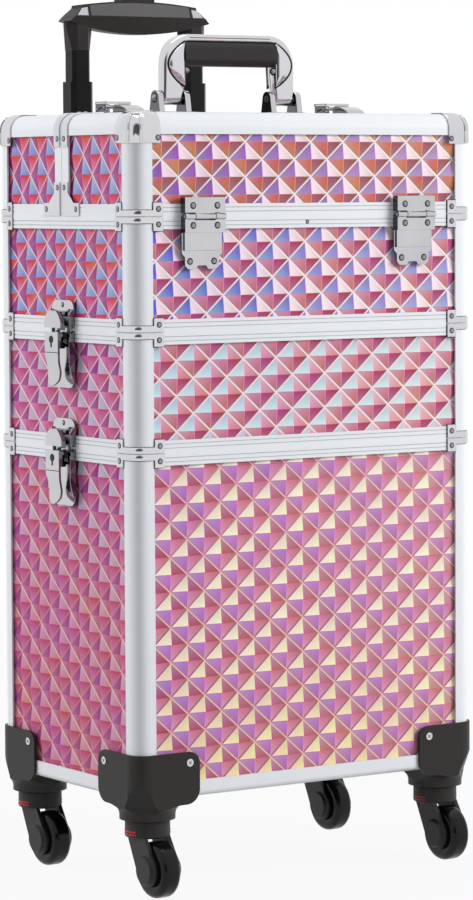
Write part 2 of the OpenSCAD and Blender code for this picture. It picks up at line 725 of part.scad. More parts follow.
module bin_latch_bases() color(bright) for (s = [-1, 1]) at_latch(s, seam_low) latch_base();
module middle_latch_keepers() color(bright) for (s = [-1, 1]) at_latch(s, seam_low) latch_keeper();
module middle_latch_bases() color(bright) for (s = [-1, 1]) at_latch(s, seam_mid) latch_base();
module top_latch_keepers() color(bright) for (s = [-1, 1]) at_latch(s, seam_mid) latch_keeper();
module left_bin_lever() color(bright) at_latch(-1, seam_low) latch_lever();
module right_bin_lever() color(bright) at_latch(1, seam_low) latch_lever();
module left_tier_lever() color(bright) at_latch(-1, seam_mid) latch_lever();
module right_tier_lever() color(bright) at_latch(1, seam_mid) latch_lever();
module left_bin_catch() color(bright) at_latch(-1, seam_low) latch_catch();
module right_bin_catch() color(bright) at_latch(1, seam_low) latch_catch();
module left_tier_catch() color(bright) at_latch(-1, seam_mid) latch_catch();
module right_tier_catch() color(bright) at_latch(1, seam_mid) latch_catch();

// Lid hinges on the front and the rear

hinge_pin = 1.3;
leaf_thick = 1.5;
leaf_face = 7;
leaf_side = 1.2;
leaf_low = 44;
leaf_high = 16;
box_low = 13.6;
step_low = 28.5;
step_face = 3.2;
step_inset = 1.8;
foot_shoulder = 34;
foot_notch = 3;
own_gap = 1.3;
other_gap = knuckle + 0.5;
mid_knuckle = hinge_width / 4;

// Knuckle on a web that stands on its leaf, from x to x + wide, above or below the axis
module hinge_knuckle(x, wide, up, bore) translate([x, 0, 0]) rotate([90, 0, 90]) linear_extrude(wide) difference() {
  union() {
    translate([0, hinge_out]) circle(knuckle);
    translate([up ? 0 : -knuckle, 0]) square([knuckle, hinge_out]);
  }
  translate([0, hinge_out]) circle(bore);
}

// Pressed cover of a leaf, up from the axis: a face, two sides, and a tongue or ears to its knuckles
module leaf_cover(far, tongue) {
  x = hinge_width / 2;
  translate([-x, other_gap, leaf_face - leaf_thick]) cube([2 * x, far - other_gap, leaf_thick]);
  for (s = [0, 1]) mirror([s, 0, 0]) translate([x - leaf_side, other_gap, 0])
    cube([leaf_side, far - other_gap, leaf_face]);
  for (s = tongue ? [0] : [0, 1]) mirror([s, 0, 0])
    translate([tongue ? -mid_knuckle : mid_knuckle + slide_gap, own_gap, leaf_face - leaf_thick])
      cube([tongue ? 2 * mid_knuckle : x - mid_knuckle - slide_gap, other_gap - own_gap + 1, leaf_thick]);
}

// Leaf on the top tier: a pressed cover, a lower step, a notched foot and a knuckle at each end
module lower_leaf() {
  x = hinge_width / 2;
  n = foot_notch;
  linear_extrude(leaf_thick) polygon([[-x, -knuckle], [-x, n - foot_shoulder], [n - x, -foot_shoulder],
    [n - x, n - leaf_low], [2 * n - x, -leaf_low], [-2 * n, -leaf_low], [2 - 2 * n, n - leaf_low],
    [2 * n - 2, n - leaf_low], [2 * n, -leaf_low], [x - 2 * n, -leaf_low], [x - n, n - leaf_low],
    [x - n, -foot_shoulder], [x, n - foot_shoulder], [x, -knuckle]]);
  translate([2 * n - x, n - leaf_low, -skin]) cube([2 * x - 4 * n, leaf_low - foot_shoulder, skin + 0.5]);
  translate([step_inset - x, -step_low, 0]) cube([2 * (x - step_inset), step_low - box_low + 1, step_face]);
  mirror([0, 1, 0]) leaf_cover(box_low, false);
  hinge_knuckle(-x, x - mid_knuckle - slide_gap, false, hinge_pin);
  hinge_knuckle(mid_knuckle + slide_gap, x - mid_knuckle - slide_gap, false, hinge_pin);
}

// Leaf on the lid with the middle knuckle
module upper_leaf() {
  x = hinge_width / 2;
  translate([-x, other_gap, 0]) cube([2 * x, leaf_high - other_gap, leaf_thick]);
  leaf_cover(leaf_high, true);
  hinge_knuckle(-mid_knuckle, 2 * mid_knuckle, true, hinge_pin + pin_gap);
}

module front_hinges() for (s = [-1, 1]) placed() on_front() translate([s * hinge_place, seam_top, 0]) children();
module rear_hinges() for (s = [-1, 1]) placed() on_rear() translate([s * hinge_place, seam_top, 0]) children();

module hinge_leaves() color(bright) {
  front_hinges() lower_leaf();
  rear_hinges() lower_leaf();
}

module hinge_rod() translate([-hinge_width / 2, 0, hinge_out]) rotate([0, 90, 0])
  cylinder(r = hinge_pin, h = hinge_width);

module hinge_pins() color(bright) {
  front_hinges() hinge_rod();
  rear_hinges() hinge_rod();
}

module front_lid_hinges() color(bright) front_hinges() upper_leaf();
module rear_lid_hinges() color(bright) rear_hinges() upper_leaf();

// Split lid: a half is drawn from its outer face at Y = 0 back to the split, up from the seam

front_half = half_deep + split - slide_gap;
rear_half = half_deep - split - slide_gap;

module front_lid() placed() translate([0, -half_deep, seam_top]) children();
module rear_lid() placed() translate([0, half_deep, seam_top]) rotate(180) children();

// A run along Y between two depths, mirrored to both ends of the lid, with the profile's
// X inward from the end face and its Y up
module end_runs(from, to) for (s = [0, 1]) mirror([s, 0, 0])
  translate([half_wide, to, 0]) rotate([90, 0, 0]) linear_extrude(to - from) mirror([1, 0]) children();

// Walls and top of a lid half; the film on its ends is laid with its pyramids on their sides
module lid_boards(deep) {
  wide = case_width - 2 * post_radius;
  tall = lid_height - post_radius - rail_web;
  length = deep - rail_web - post_radius;
  translate([-wide / 2, skin + board, rail_web]) rotate([90, 0, 0]) embossed(wide, tall, pyramid_wide, pyramid_tall);
  translate([half_wide - skin - board, post_radius, rail_web]) rotate([90, 0, 90])
    embossed(length, tall, pyramid_tall, pyramid_side);
  translate([skin + board - half_wide, post_radius + length, rail_web]) rotate([90, 0, -90])
    embossed(length, tall, pyramid_tall, pyramid_side);
  translate([-wide / 2, post_radius, lid_height - skin - board])
    embossed(wide, length, pyramid_wide, pyramid_tall);
}

// The post's section turned so that the round edge is at the outer top
module lid_edge_profile() translate([0, lid_height]) rotate(90) post_profile();

module lid_frame(deep) {
  inside = case_width - 2 * (post_flange + butt_gap);
  begin = post_flange + butt_gap;
  tall = lid_height - post_flange - butt_gap;
  for (s = [0, 1]) mirror([s, 0, 0]) translate([half_wide, 0, 0]) rotate(-90)
    linear_extrude(tall) post_profile();
  run(inside) rail_profile(rail_height);
  end_runs(begin, deep - split_post - butt_gap) rail_profile(rail_height);
  run(inside) lid_edge_profile();
  end_runs(begin, deep) lid_edge_profile();
  for (s = [0, 1]) mirror([s, 0, 0]) translate([half_wide, deep, 0]) linear_extrude(tall)
    translate([-wall, -split_post]) difference() {
      square([wall, split_post]);
      translate([skin, -1]) square([board, split_post + 1 - rail_web]);
    }
  translate([0, deep, lid_height]) run(inside) translate([-split_post, -wall]) difference() {
    square([split_post, wall]);
    translate([-1, skin]) square([split_post + 1 - rail_web, board]);
  }
}

// Pressed cap over a top corner: round on the three edges that meet there
module lid_corner_cap() {
  outer = post_radius + chrome;
  straight = cap_reach - post_radius;
  translate([-post_radius, -post_radius, lid_height - cap_reach]) rotate_extrude(angle = 90) {
    translate([post_radius, 0]) square([chrome, straight]);
    translate([0, straight]) intersection() {
      difference() {
        circle(outer);
        circle(post_radius);
      }
      square(outer + 1);
    }
  }
  cap_wing();
  mirror([1, -1, 0]) cap_wing();
}

// Wing of a cap along -X: over the edge, down the face and over the top
module cap_wing() translate([-cap_reach, 0, lid_height]) rotate([90, 0, 90]) linear_extrude(cap_reach - post_radius)
  bent_sheet(cap_reach, chrome);

plate_back = 2;
plate_high = 29;

// Caps and braces at the corners, an angle plate at the foot of the split and a strap over its top
module lid_fittings(deep) {
  for (s = [0, 1]) mirror([s, 0, 0]) {
    translate([half_wide, 0, 0]) rotate(-90) {
      lid_corner_cap();
      translate([0, 0, slide_gap]) brace(true);
    }
    translate([half_wide, deep, 0]) rotate([90, 0, 90]) linear_extrude(chrome)
      polygon([[-plate_back, slide_gap], [-plate_back, plate_high], [-split_post, plate_high],
        [-split_post, plate_high - 9], [9 - plate_high, brace_height], [-plate_high, brace_height],
        [-plate_high, slide_gap]]);
    translate([half_wide, deep - plate_back, lid_height]) rotate([90, 0, 0]) linear_extrude(split_post - plate_back)
      bent_sheet(brace_reach, chrome);
  }
}

module front_lid_boards() color(pink) front_lid() lid_boards(front_half);
module front_lid_frame() color(aluminium) front_lid() lid_frame(front_half);
module front_lid_fittings() color(bright) front_lid() lid_fittings(front_half);
module rear_lid_boards() color(pink) rear_lid() lid_boards(rear_half);
module rear_lid_frame() color(aluminium) rear_lid() lid_frame(rear_half);
module rear_lid_fittings() color(bright) rear_lid() lid_fittings(rear_half);

// Latches across the split on top of the lid, drawn from the split with Y to the rear

strike_long = 30;
lid_latch_pivot_y = 8;
lid_latch_pivot_z = 6.5;
lid_latch_half = 12.3;
lid_latch_long = 32;
foot_half = 14;
foot_round = 8;
strike_half = 9;
lid_lug_eye = 2.3;
lid_lug_front = 1.5;
lid_lug_back = 5;

module at_lid_latch(s) placed() translate([s * lid_latch_place, split, case_top]) children();

// Plate with a round far end
module latch_foot(from, to) linear_extrude(1.5) {
  end = to > from ? to - foot_round : to + foot_round;
  translate([-foot_half, min(from, end)]) square([2 * foot_half, abs(end - from)]);
  translate([foot_round - foot_half, min(to, end)]) square([2 * (foot_half - foot_round), foot_round]);
  for (s = [-1, 1]) translate([s * (foot_half - foot_round), end]) circle(foot_round);
}

module front_lid_strikes() color(bright) for (s = [-1, 1]) at_lid_latch(s) {
  latch_foot(-0.6, -strike_long);
  translate([-strike_half, 0, 0]) rotate([90, 0, 90]) linear_extrude(2 * strike_half)
    polygon([[4 - strike_long, 1], [9 - strike_long, 5], [-13, 7.5], [-4, 8.5], [-0.8, 7], [-0.8, 1]]);
}

module rear_lid_latch_bases() color(bright) for (s = [-1, 1]) at_lid_latch(s) difference() {
  union() {
    latch_foot(0.6, lid_latch_long + 1);
    for (k = [-1, 1]) translate([k > 0 ? 7.5 : -10, 0, 0]) rotate([90, 0, 90]) linear_extrude(2.5) {
      translate([lid_latch_pivot_y, lid_latch_pivot_z]) circle(lid_lug_eye);
      polygon([[lid_latch_pivot_y - lid_lug_front, 1], [lid_latch_pivot_y + lid_lug_back, 1],
        [lid_latch_pivot_y + 2, lid_latch_pivot_z],
        [lid_latch_pivot_y - lid_lug_front, lid_latch_pivot_z]]);
    }
  }
  translate([-20, lid_latch_pivot_y, lid_latch_pivot_z]) rotate([0, 90, 0]) cylinder(r = latch_pin + pin_gap, h = 40);
}

module lid_latch_lever() difference() {
  union() {
    translate([0, 0, cover_z]) linear_extrude(cover_thick) {
      translate([-lid_latch_half, 4.5]) square([2 * lid_latch_half, 16]);
      polygon([[-lid_latch_half, 20], [lid_latch_half, 20], [9, 26], [9, lid_latch_long - 5], [-9, lid_latch_long - 5], [-9, 26]]);
      for (s = [-1, 1]) translate([s * 4, lid_latch_long - 5]) circle(5);
      translate([-4, lid_latch_long - 5]) square([8, 5]);
    }
    for (s = [-1, 1]) translate([s > 0 ? lid_latch_half - 2 : -lid_latch_half, 0, 0]) rotate([90, 0, 90]) linear_extrude(2) {
      translate([5.5, 4]) square([10, cover_z - 3.5]);
      translate([7, 2.2]) square([15.5, cover_z - 2]);
      translate([lid_latch_pivot_y, lid_latch_pivot_z]) circle(3.5);
    }
    translate([-lid_latch_half, lid_latch_pivot_y, lid_latch_pivot_z]) rotate([0, 90, 0])
      cylinder(r = latch_pin, h = 2 * lid_latch_half);
  }
  for (y = [8, 12, 16]) translate([-20, y, cover_z + cover_thick - 0.6]) cube([40, 1, 2]);
}

module left_lid_latch() color(bright) at_lid_latch(-1) lid_latch_lever();
module right_lid_latch() color(bright) at_lid_latch(1) lid_latch_lever();

// Carry handle on the rear half of the lid

handle_y = split + handle_back;
pivot_z = case_top + handle_pivot;
leg_in = handle_half - leg_width;
handle_pin = 2.5;
loop_thick = 12;
bracket_deep = 18;
grip_width = 18;
loop_corner = 27;
cheek = 5.5;
cheek_gap = 0.5;
grip_tall = 22;

module at_handle() placed() translate([0, handle_y, 0]) children();

module handle_brackets() color(bright) at_handle() for (s = [0, 1]) mirror([s, 0, 0]) difference() {
  union() {
    translate([leg_in - cheek - 5, -bracket_deep / 2, case_top])
      cube([leg_width + 2 * cheek + 9, bracket_deep, 3]);
    for (x = [leg_in - cheek - cheek_gap, handle_half + cheek_gap]) translate([x, 0, 0])
      rotate([90, 0, 90]) linear_extrude(cheek) {
        translate([0, pivot_z]) circle(6.5);
        polygon([[-bracket_deep / 2, case_top + 1], [bracket_deep / 2, case_top + 1], [6.5, pivot_z], [-6.5, pivot_z]]);
      }
  }
  translate([0, 0, pivot_z]) rotate([0, 90, 0]) cylinder(r = handle_pin, h = 2 * handle_half);
}

module handle_pins() color(bright) at_handle() for (s = [0, 1]) mirror([s, 0, 0])
  translate([leg_in - cheek - cheek_gap, 0, pivot_z]) rotate([0, 90, 0])
    cylinder(r = handle_pin, h = leg_width + 2 * (cheek + cheek_gap));

// Bent chrome bar: two broad legs and a back with large round corners
module handle_loop() color(bright) at_handle() difference() {
  intersection() {
    translate([0, loop_thick / 2, pivot_z]) rotate([90, 0, 0]) linear_extrude(loop_thick) difference() {
      union() {
        translate([-handle_half, -6]) square([2 * handle_half, handle_rise + 6 - loop_corner]);
        translate([loop_corner - handle_half, 0]) square([2 * (handle_half - loop_corner), handle_rise]);
        for (s = [-1, 1]) translate([s * (handle_half - loop_corner), handle_rise - loop_corner]) circle(loop_corner);
      }
      translate([-leg_in, -10]) square([2 * leg_in, handle_rise + 10 - bar_thick]);
      for (s = [-1, 1]) translate([s * leg_in, -10]) rotate(s * 6) translate([-3, -10]) square([6, 30]);
    }
    translate([0, 0, pivot_z]) run(2 * handle_half) {
      translate([-loop_thick / 2, 0]) square([loop_thick, handle_rise]);
      circle(6.2);
    }
  }
  translate([-handle_half - 1, 0, pivot_z]) rotate([0, 90, 0]) cylinder(r = handle_pin + pin_gap, h = 2 * handle_half + 2);
}

// Padded grip under the back of the loop, between the legs
module handle_grip() color(black) at_handle() translate([0, 0, pivot_z + handle_rise - bar_thick - grip_tall])
  run(2 * leg_in) {
    soft = 7;
    side = grip_width / 2;
    translate([soft - side, 0]) square([grip_width - 2 * soft, grip_tall]);
    translate([-side, soft]) square([grip_width, grip_tall - 2 * soft]);
    for (x = [soft - side, side - soft], y = [soft, grip_tall - soft]) translate([x, y]) circle(soft);
  }

bin_boards();
bin_frame();
bin_braces();
corner_shoes();
shoe_screws();
trolley_brackets();
trolley_sleeves();
bin_latch_bases();
middle_boards();
middle_frame();
middle_braces();
middle_latch_keepers();
middle_latch_bases();
top_boards();
top_frame();
top_braces();
top_latch_keepers();
hinge_leaves();
hinge_pins();
front_lid_boards();
front_lid_frame();
front_lid_fittings();
front_lid_hinges();
front_lid_strikes();
rear_lid_boards();
rear_lid_frame();
rear_lid_fittings();
rear_lid_hinges();
rear_lid_latch_bases();
left_lid_latch();
right_lid_latch();
handle_brackets();
handle_pins();
handle_loop();
handle_grip();
left_bin_lever();
right_bin_lever();
left_tier_lever();
right_tier_lever();
left_bin_catch();
right_bin_catch();
left_tier_catch();
right_tier_catch();
front_left_fork();
front_right_fork();
rear_left_fork();
rear_right_fork();
front_left_wheel();
front_right_wheel();
rear_left_wheel();
rear_right_wheel();
lower_tubes();
upper_tubes();
trolley_grip();
trolley_button();
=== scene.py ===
import itertools
import math

import bpy
from mathutils import Matrix, Vector


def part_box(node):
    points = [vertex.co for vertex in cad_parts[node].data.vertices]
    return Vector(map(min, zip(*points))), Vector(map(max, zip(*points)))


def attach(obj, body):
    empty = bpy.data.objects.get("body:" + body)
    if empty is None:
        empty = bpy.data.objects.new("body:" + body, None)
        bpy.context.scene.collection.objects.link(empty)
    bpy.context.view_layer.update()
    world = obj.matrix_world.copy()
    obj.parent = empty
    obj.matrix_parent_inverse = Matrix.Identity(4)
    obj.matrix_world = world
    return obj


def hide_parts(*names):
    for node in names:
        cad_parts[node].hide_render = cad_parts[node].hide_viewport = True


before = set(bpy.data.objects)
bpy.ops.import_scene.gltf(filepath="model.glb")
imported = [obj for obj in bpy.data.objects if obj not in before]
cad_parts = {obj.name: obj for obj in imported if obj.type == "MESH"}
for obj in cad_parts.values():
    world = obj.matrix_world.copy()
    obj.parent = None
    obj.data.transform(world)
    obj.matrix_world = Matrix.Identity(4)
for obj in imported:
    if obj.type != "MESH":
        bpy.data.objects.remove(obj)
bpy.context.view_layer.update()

mm = 0.001

# Levels and faces of the case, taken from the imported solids
case_low, case_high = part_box("bin_frame")
seam_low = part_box("middle_frame")[0].z
seam_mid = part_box("top_frame")[0].z
seam_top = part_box("front_lid_frame")[0].z
lid_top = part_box("front_lid_frame")[1].z
left, right = case_low.x, case_high.x
front, back = case_low.y, case_high.y
sides = ((left, -1), (right, 1))
row_y = {-1: front, 1: back}
middle_y = (front + back) / 2
split_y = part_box("front_lid_frame")[1].y + 0.3 * mm
board_thick = 5.9 * mm
post_radius = 13 * mm
post_flange = 18.5 * mm
rail_web = 2.5 * mm
sheet = 1.2 * mm
x_axis, y_axis, z_axis = Vector((1, 0, 0)), Vector((0, 1, 0)), Vector((0, 0, 1))


def shade(r, g, b):
    """The linear values of a colour that is written as it looks on a screen."""
    return tuple(c / 12.92 if c <= 0.04045 else ((c + 0.055) / 1.055) ** 2.4 for c in (r, g, b)) + (1.0,)


# Pieces

def put(name, data):
    thing = bpy.data.objects.new(name, data)
    bpy.context.scene.collection.objects.link(thing)
    return thing


def make_piece(name, body, verts, faces, materials, looks=None, smooth=False, *, slot):
    """A mesh that rides on a body; looks gives each face its place in the list of materials."""
    mesh = bpy.data.meshes.new(name)
    mesh.from_pydata([tuple(v) for v in verts], [], faces)
    for material in materials:
        mesh.materials.append(material)
    if looks:
        mesh.polygons.foreach_set("material_index", looks)
    mesh.polygons.foreach_set("use_smooth", [smooth] * len(mesh.polygons))
    mesh.update()
    piece = put(name, mesh)
    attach(piece, body)
    return piece


def square_frame(normal):
    """Two directions across a face with this outward normal, so that the three are right-handed."""
    normal = normal.normalized()
    side = z_axis if abs(normal.z) < 0.9 else y_axis
    across = side.cross(normal).normalized()
    return across, normal.cross(across), normal


def turned(profile, spots, steps=20):
    """Rings of a turned profile (radius, height), one copy on each (point, outward normal)."""
    verts, faces = [], []
    for point, normal in spots:
        across, up, out = square_frame(normal)
        first = len(verts)
        for radius, height in profile:
            for k in range(steps):
                a = 2 * math.pi * k / steps
                verts.append(point + across * radius * math.cos(a) + up * radius * math.sin(a) + out * height)
        for ring in range(len(profile) - 1):
            for k in range(steps):
                a, b = first + ring * steps + k, first + ring * steps + (k + 1) % steps
                faces.append((a, b, b + steps, a + steps))
        faces.append([first + (len(profile) - 1) * steps + k for k in range(steps)])
    return verts, faces


def skinned(rings, capped=False):
    """Faces between closed rings of equal length; capped fills the first and the last ring."""
    verts = [v for ring in rings for v in ring]
    count = len(rings[0])
    faces = []
    for r in range(len(rings) - 1):
        for k in range(count):
            a, b = r * count + k, r * count + (k + 1) % count
            faces.append((a, b, b + count, a + count))
    if capped:
        faces.append(list(reversed(range(count))))
        faces.append(list(range(len(verts) - count, len(verts))))
    return verts, faces


def raised_strip(path, wide, high):
    """A low rib with sloped sides along a path of (place, outward normal)."""
    sunk, crest = 0.2 * mm, 0.6
    rings = []
    for k, (place, out) in enumerate(path):
        before, after = path[max(k - 1, 0)][0], path[min(k + 1, len(path) - 1)][0]
        side = (after - before).cross(out).normalized() * wide / 2
        rings.append([place - side - out * sunk, place - side * crest + out * high,
                      place + side * crest + out * high, place + side - out * sunk])
    return skinned(rings, capped=True)


def gathered(parts):
    """Joins (verts, faces) pairs into one."""
    verts, faces = [], []
    for more_verts, more_faces in parts:
        first = len(verts)
        verts += more_verts
        faces += [[first + k for k in face] for face in more_faces]
    return verts, faces


# Materials

def feed(tree, node, values):
    """Sets inputs of a node to values, or links them to the outputs that are given."""
    for label, value in values.items():
        if isinstance(value, (int, float, tuple)):
            node.inputs[label].default_value = value
        else:
            tree.links.new(value, node.inputs[label])


def add_node(tree, kind, values):
    node = tree.nodes.new(kind)
    feed(tree, node, values)
    return node


def place_group(tree, group, values):
    node = tree.nodes.new("ShaderNodeGroup")
    node.node_tree = group
    feed(tree, node, values)
    return node.outputs


def new_material(name):
    material = bpy.data.materials.new(name)
    material.use_nodes = True
    return material, material.node_tree, material.node_tree.nodes["Principled BSDF"]


def new_group(name, inputs, outputs):
    """A group of nodes with its inputs and outputs given as {label: kind}."""
    group = bpy.data.node_groups.new(name, "ShaderNodeTree")
    for way, sockets in (("INPUT", inputs), ("OUTPUT", outputs)):
        for label, kind in sockets.items():
            group.interface.new_socket(label, in_out=way, socket_type="NodeSocket" + kind)
    return group, group.nodes.new("NodeGroupInput").outputs, group.nodes.new("NodeGroupOutput")


def math_node(tree, kind, a, b=None, c=None, clamp=False):
    node = add_node(tree, "ShaderNodeMath", {k: v for k, v in enumerate((a, b, c)) if v is not None})
    node.operation, node.use_clamp = kind, clamp
    return node.outputs[0]


def times_plus(tree, value, gain, offset, clamp=False):
    return math_node(tree, "MULTIPLY_ADD", value, gain, offset, clamp)


def vector_math(tree, kind, values):
    node = add_node(tree, "ShaderNodeVectorMath", values)
    node.operation = kind
    return node.outputs


def mix_colour(tree, factor, a, b):
    node = tree.nodes.new("ShaderNodeMix")
    node.data_type = "RGBA"
    feed(tree, node, {0: factor, 6: a, 7: b})
    return node.outputs[2]


def coordinate(tree, kind):
    return tree.nodes.new("ShaderNodeTexCoord").outputs[kind]


def noise(tree, place, scale, detail=3.0, rough=0.55):
    values = {"Vector": place, "Scale": scale, "Detail": detail, "Roughness": rough}
    return add_node(tree, "ShaderNodeTexNoise", values).outputs["Fac"]


def build_grain_group():
    """Fine grain: a height for the bump, and a roughness that drifts with larger marks."""
    group, give, end = new_group("surface_grain", {
        "Place": "Vector", "Grain": "Float", "Marks": "Float", "Base Roughness": "Float", "Spread": "Float"},
        {"Height": "Float", "Roughness": "Float", "Marks": "Float"})
    marks = noise(group, give["Place"], give["Marks"], 5.0, 0.5)
    drift = math_node(group, "MULTIPLY", math_node(group, "SUBTRACT", marks, 0.5), give["Spread"])
    feed(group, end, {"Height": noise(group, give["Place"], give["Grain"], 2.0, 0.5), "Marks": marks,
                      "Roughness": math_node(group, "ADD", drift, give["Base Roughness"], clamp=True)})
    return group


surface_grain = build_grain_group()


def coat(name, colour, dark, metal, rough, spread, grain, marks, bump, stretch=(1, 1, 1), shine=0.5):
    """A finish with fine grain, uneven gloss and a little drift between two colours."""
    material, tree, surface = new_material(name)
    place = vector_math(tree, "MULTIPLY", {0: coordinate(tree, "Object"), 1: stretch})[0]
    grains = place_group(tree, surface_grain, {
        "Place": place, "Grain": grain, "Marks": marks, "Base Roughness": rough, "Spread": spread})
    lift = add_node(tree, "ShaderNodeBump", {"Strength": bump, "Distance": 0.2 * mm, "Height": grains["Height"]})
    feed(tree, surface, {
        "Base Color": mix_colour(tree, grains["Marks"], shade(*dark), shade(*colour)), "Metallic": metal,
        "Roughness": grains["Roughness"], "Specular IOR Level": shine, "Normal": lift.outputs["Normal"]})
    return material


# After the two colours: metal, roughness, its spread, grain, marks and bump
satin = (0.12, 0.42, 0.1, 700, 14, 0.05)
plating = (1.0, 0.1, 0.08, 500, 30, 0.02)
satin_aluminium = coat("satin_aluminium", (0.95, 0.96, 0.975), (0.92, 0.93, 0.95), *satin)
# Painted shade: the grey laid in the rails' flutes.
flute_shade_grey = coat("flute_shade_grey", (0.76, 0.77, 0.79), (0.70, 0.71, 0.73), *satin)
bright_chrome = coat("bright_chrome", (0.87, 0.87, 0.88), (0.79, 0.79, 0.81), *plating)


def shaded_side_chrome(name, axis, edge, gain=1.6, offset=-0.5):
    """Chrome with painted shade: bright on the faces along one axis and darkened, by the edge value, on the others,
    or the other way round with a negative gain."""
    material = coat(name, (0.82, 0.82, 0.83), (0.74, 0.74, 0.76), *plating)
    tree = material.node_tree
    surface = tree.nodes["Principled BSDF"]
    plated = surface.inputs["Base Color"].links[0].from_socket
    turned_to = add_node(tree, "ShaderNodeSeparateXYZ", {0: coordinate(tree, "Normal")}).outputs[axis]
    facing = times_plus(tree, math_node(tree, "ABSOLUTE", turned_to), gain, offset, clamp=True)
    feed(tree, surface, {"Base Color": mix_colour(tree, facing, shade(edge, edge, edge + 0.01), plated)})
    return material


# Painted shade by facing: hinges darkened on faces that don't face front or back, draw latches on faces that don't
# face the sides, cast fittings on faces that do.
front_shaded_chrome = shaded_side_chrome("front_shaded_chrome", "Y", 0.40)
side_shaded_chrome = shaded_side_chrome("side_shaded_chrome", "X", 0.52)
cast_shaded_chrome = shaded_side_chrome("cast_shaded_chrome", "X", 0.42, -1.6, 1.5)
# Rivet heads: chrome darker than the rest, as painted shade on the heads.
shaded_rivet_chrome = coat("shaded_rivet_chrome", (0.64, 0.64, 0.66), (0.54, 0.54, 0.56), 1.0, 0.12, 0.08, 900, 40, 0.02)
silver_paint = coat("silver_paint", (0.80, 0.80, 0.82), (0.72, 0.72, 0.74), 0.6, 0.3, 0.1, 900, 30, 0.03)
moulded_black = coat("moulded_black", (0.19, 0.18, 0.175), (0.15, 0.145, 0.14),
                     0.0, 0.46, 0.14, 1400, 18, 0.12, shine=0.25)
# Painted light: a lighter grey for the grip's upper facets, where light falls from above.
painted_light_grey = coat("painted_light_grey", (0.40, 0.395, 0.40), (0.34, 0.335, 0.34),
                  0.0, 0.44, 0.14, 1600, 20, 0.15, shine=0.3)
tube_black = coat("tube_black", (0.09, 0.085, 0.08), (0.06, 0.06, 0.06), 0.0, 0.36, 0.14, 900, 16, 0.04, shine=0.2)
wheel_black = coat("wheel_black", (0.08, 0.078, 0.075), (0.045, 0.045, 0.045),
                   0.0, 0.16, 0.1, 300, 12, 0.02, shine=0.22)
grip_black = coat("grip_black", (0.14, 0.13, 0.125), (0.09, 0.085, 0.08),
                  0.0, 0.4, 0.15, 1100, 25, 0.25, stretch=(0.35, 1, 1), shine=0.4)
# Painted shade: a dark grey laid round rivet heads, at the braces' ends, in screw and latch slots, along the strikes
# and in the handle's creases.
painted_shade = coat("painted_shade", (0.20, 0.20, 0.21), (0.13, 0.13, 0.14), 0.5, 0.4, 0.1, 900, 30, 0.05, shine=0.3)
red_mark = coat("red_mark", (0.80, 0.16, 0.22), (0.66, 0.10, 0.15), 0.0, 0.4, 0.1, 900, 40, 0.05)
black_lining = coat("black_lining", (0.13, 0.12, 0.13), (0.08, 0.075, 0.08),
                    0.0, 0.85, 0.1, 2600, 30, 0.4, shine=0.1)


def build_film_group():
    """Colour and gloss of the embossed film: four facet colours, one for each way a facet faces, painted as the
    film's iridescent reflection, that drift across each facet, lighter towards its peak as painted light, and its
    creases, with painted highlight and painted shade. The boards carry both in two attributes: the facet's kind, and
    (strength of the crease, place along the facet, place towards its peak), where a crease uses the last two as its
    direction and its lightness."""
    colours = ["Top Left", "Top Right", "Bottom Left", "Bottom Right"]
    group, give, end = new_group("film_facets", {
        **dict.fromkeys(colours + ["Falling Crease", "Rising Crease"], "Color"), "Place": "Vector",
        "Hue Drift": "Float", "Light Drift": "Float", "Colour Drift": "Float"},
        {"Colour": "Color", "Roughness": "Float"})

    def carried(label):
        attribute = group.nodes.new("ShaderNodeAttribute")
        attribute.attribute_name = label
        return add_node(group, "ShaderNodeSeparateColor", {0: attribute.outputs["Color"]}).outputs

    crease, along, towards_peak = carried("crease")
    colour = give["Bottom Right"]
    for share, label in zip(carried("facet"), colours[:3]):
        colour = mix_colour(group, share, colour, give[label])
    swing = math_node(group, "SUBTRACT", noise(group, give["Place"], 26.0, detail=1.5), 0.5)
    lean = math_node(group, "SUBTRACT", along, 0.5)
    climb = math_node(group, "SUBTRACT", towards_peak, 0.33)
    hue = times_plus(group, swing, 1.6, lean)
    depth = times_plus(group, climb, 0.7, lean)
    # Painted light: each facet lighter towards its peak and darker along it, with a noise swing.
    light = times_plus(group, swing, 0.8, math_node(group, "SUBTRACT", climb, lean))
    turn = add_node(group, "ShaderNodeHueSaturation", {
        "Color": colour, "Hue": times_plus(group, hue, give["Hue Drift"], 0.5),
        "Saturation": times_plus(group, depth, give["Colour Drift"], 1.0),
        "Value": times_plus(group, light, give["Light Drift"], 1.0)})
    line = mix_colour(group, along, give["Rising Crease"], give["Falling Crease"])
    # Painted highlight and shade on the creases: the light side of a crease turns white, the dark side deep
    # red-brown.
    pale = times_plus(group, towards_peak, 2.0, -1.0, clamp=True)
    line = mix_colour(group, pale, line, shade(1.0, 0.96, 0.97))
    deep = times_plus(group, towards_peak, -2.0, 1.0, clamp=True)
    line = mix_colour(group, deep, line, shade(0.30, 0.16, 0.22))
    streak = noise(group, give["Place"], 240.0)
    feed(group, end, {"Colour": mix_colour(group, crease, turn.outputs["Color"], line),
                      "Roughness": times_plus(group, streak, 0.12, 0.26)})
    return group


film_facets = build_film_group()


def level_ramp(tree, level, stops):
    """Colour that changes with the level, from (position, colour) stops."""
    node = add_node(tree, "ShaderNodeValToRGB", {"Fac": level})
    ramp = node.color_ramp
    while len(ramp.elements) < len(stops):
        ramp.elements.new(1.0)
    for element, (position, colour) in zip(ramp.elements, stops):
        element.position = position
        element.color = shade(*colour)
    return node.outputs["Color"]


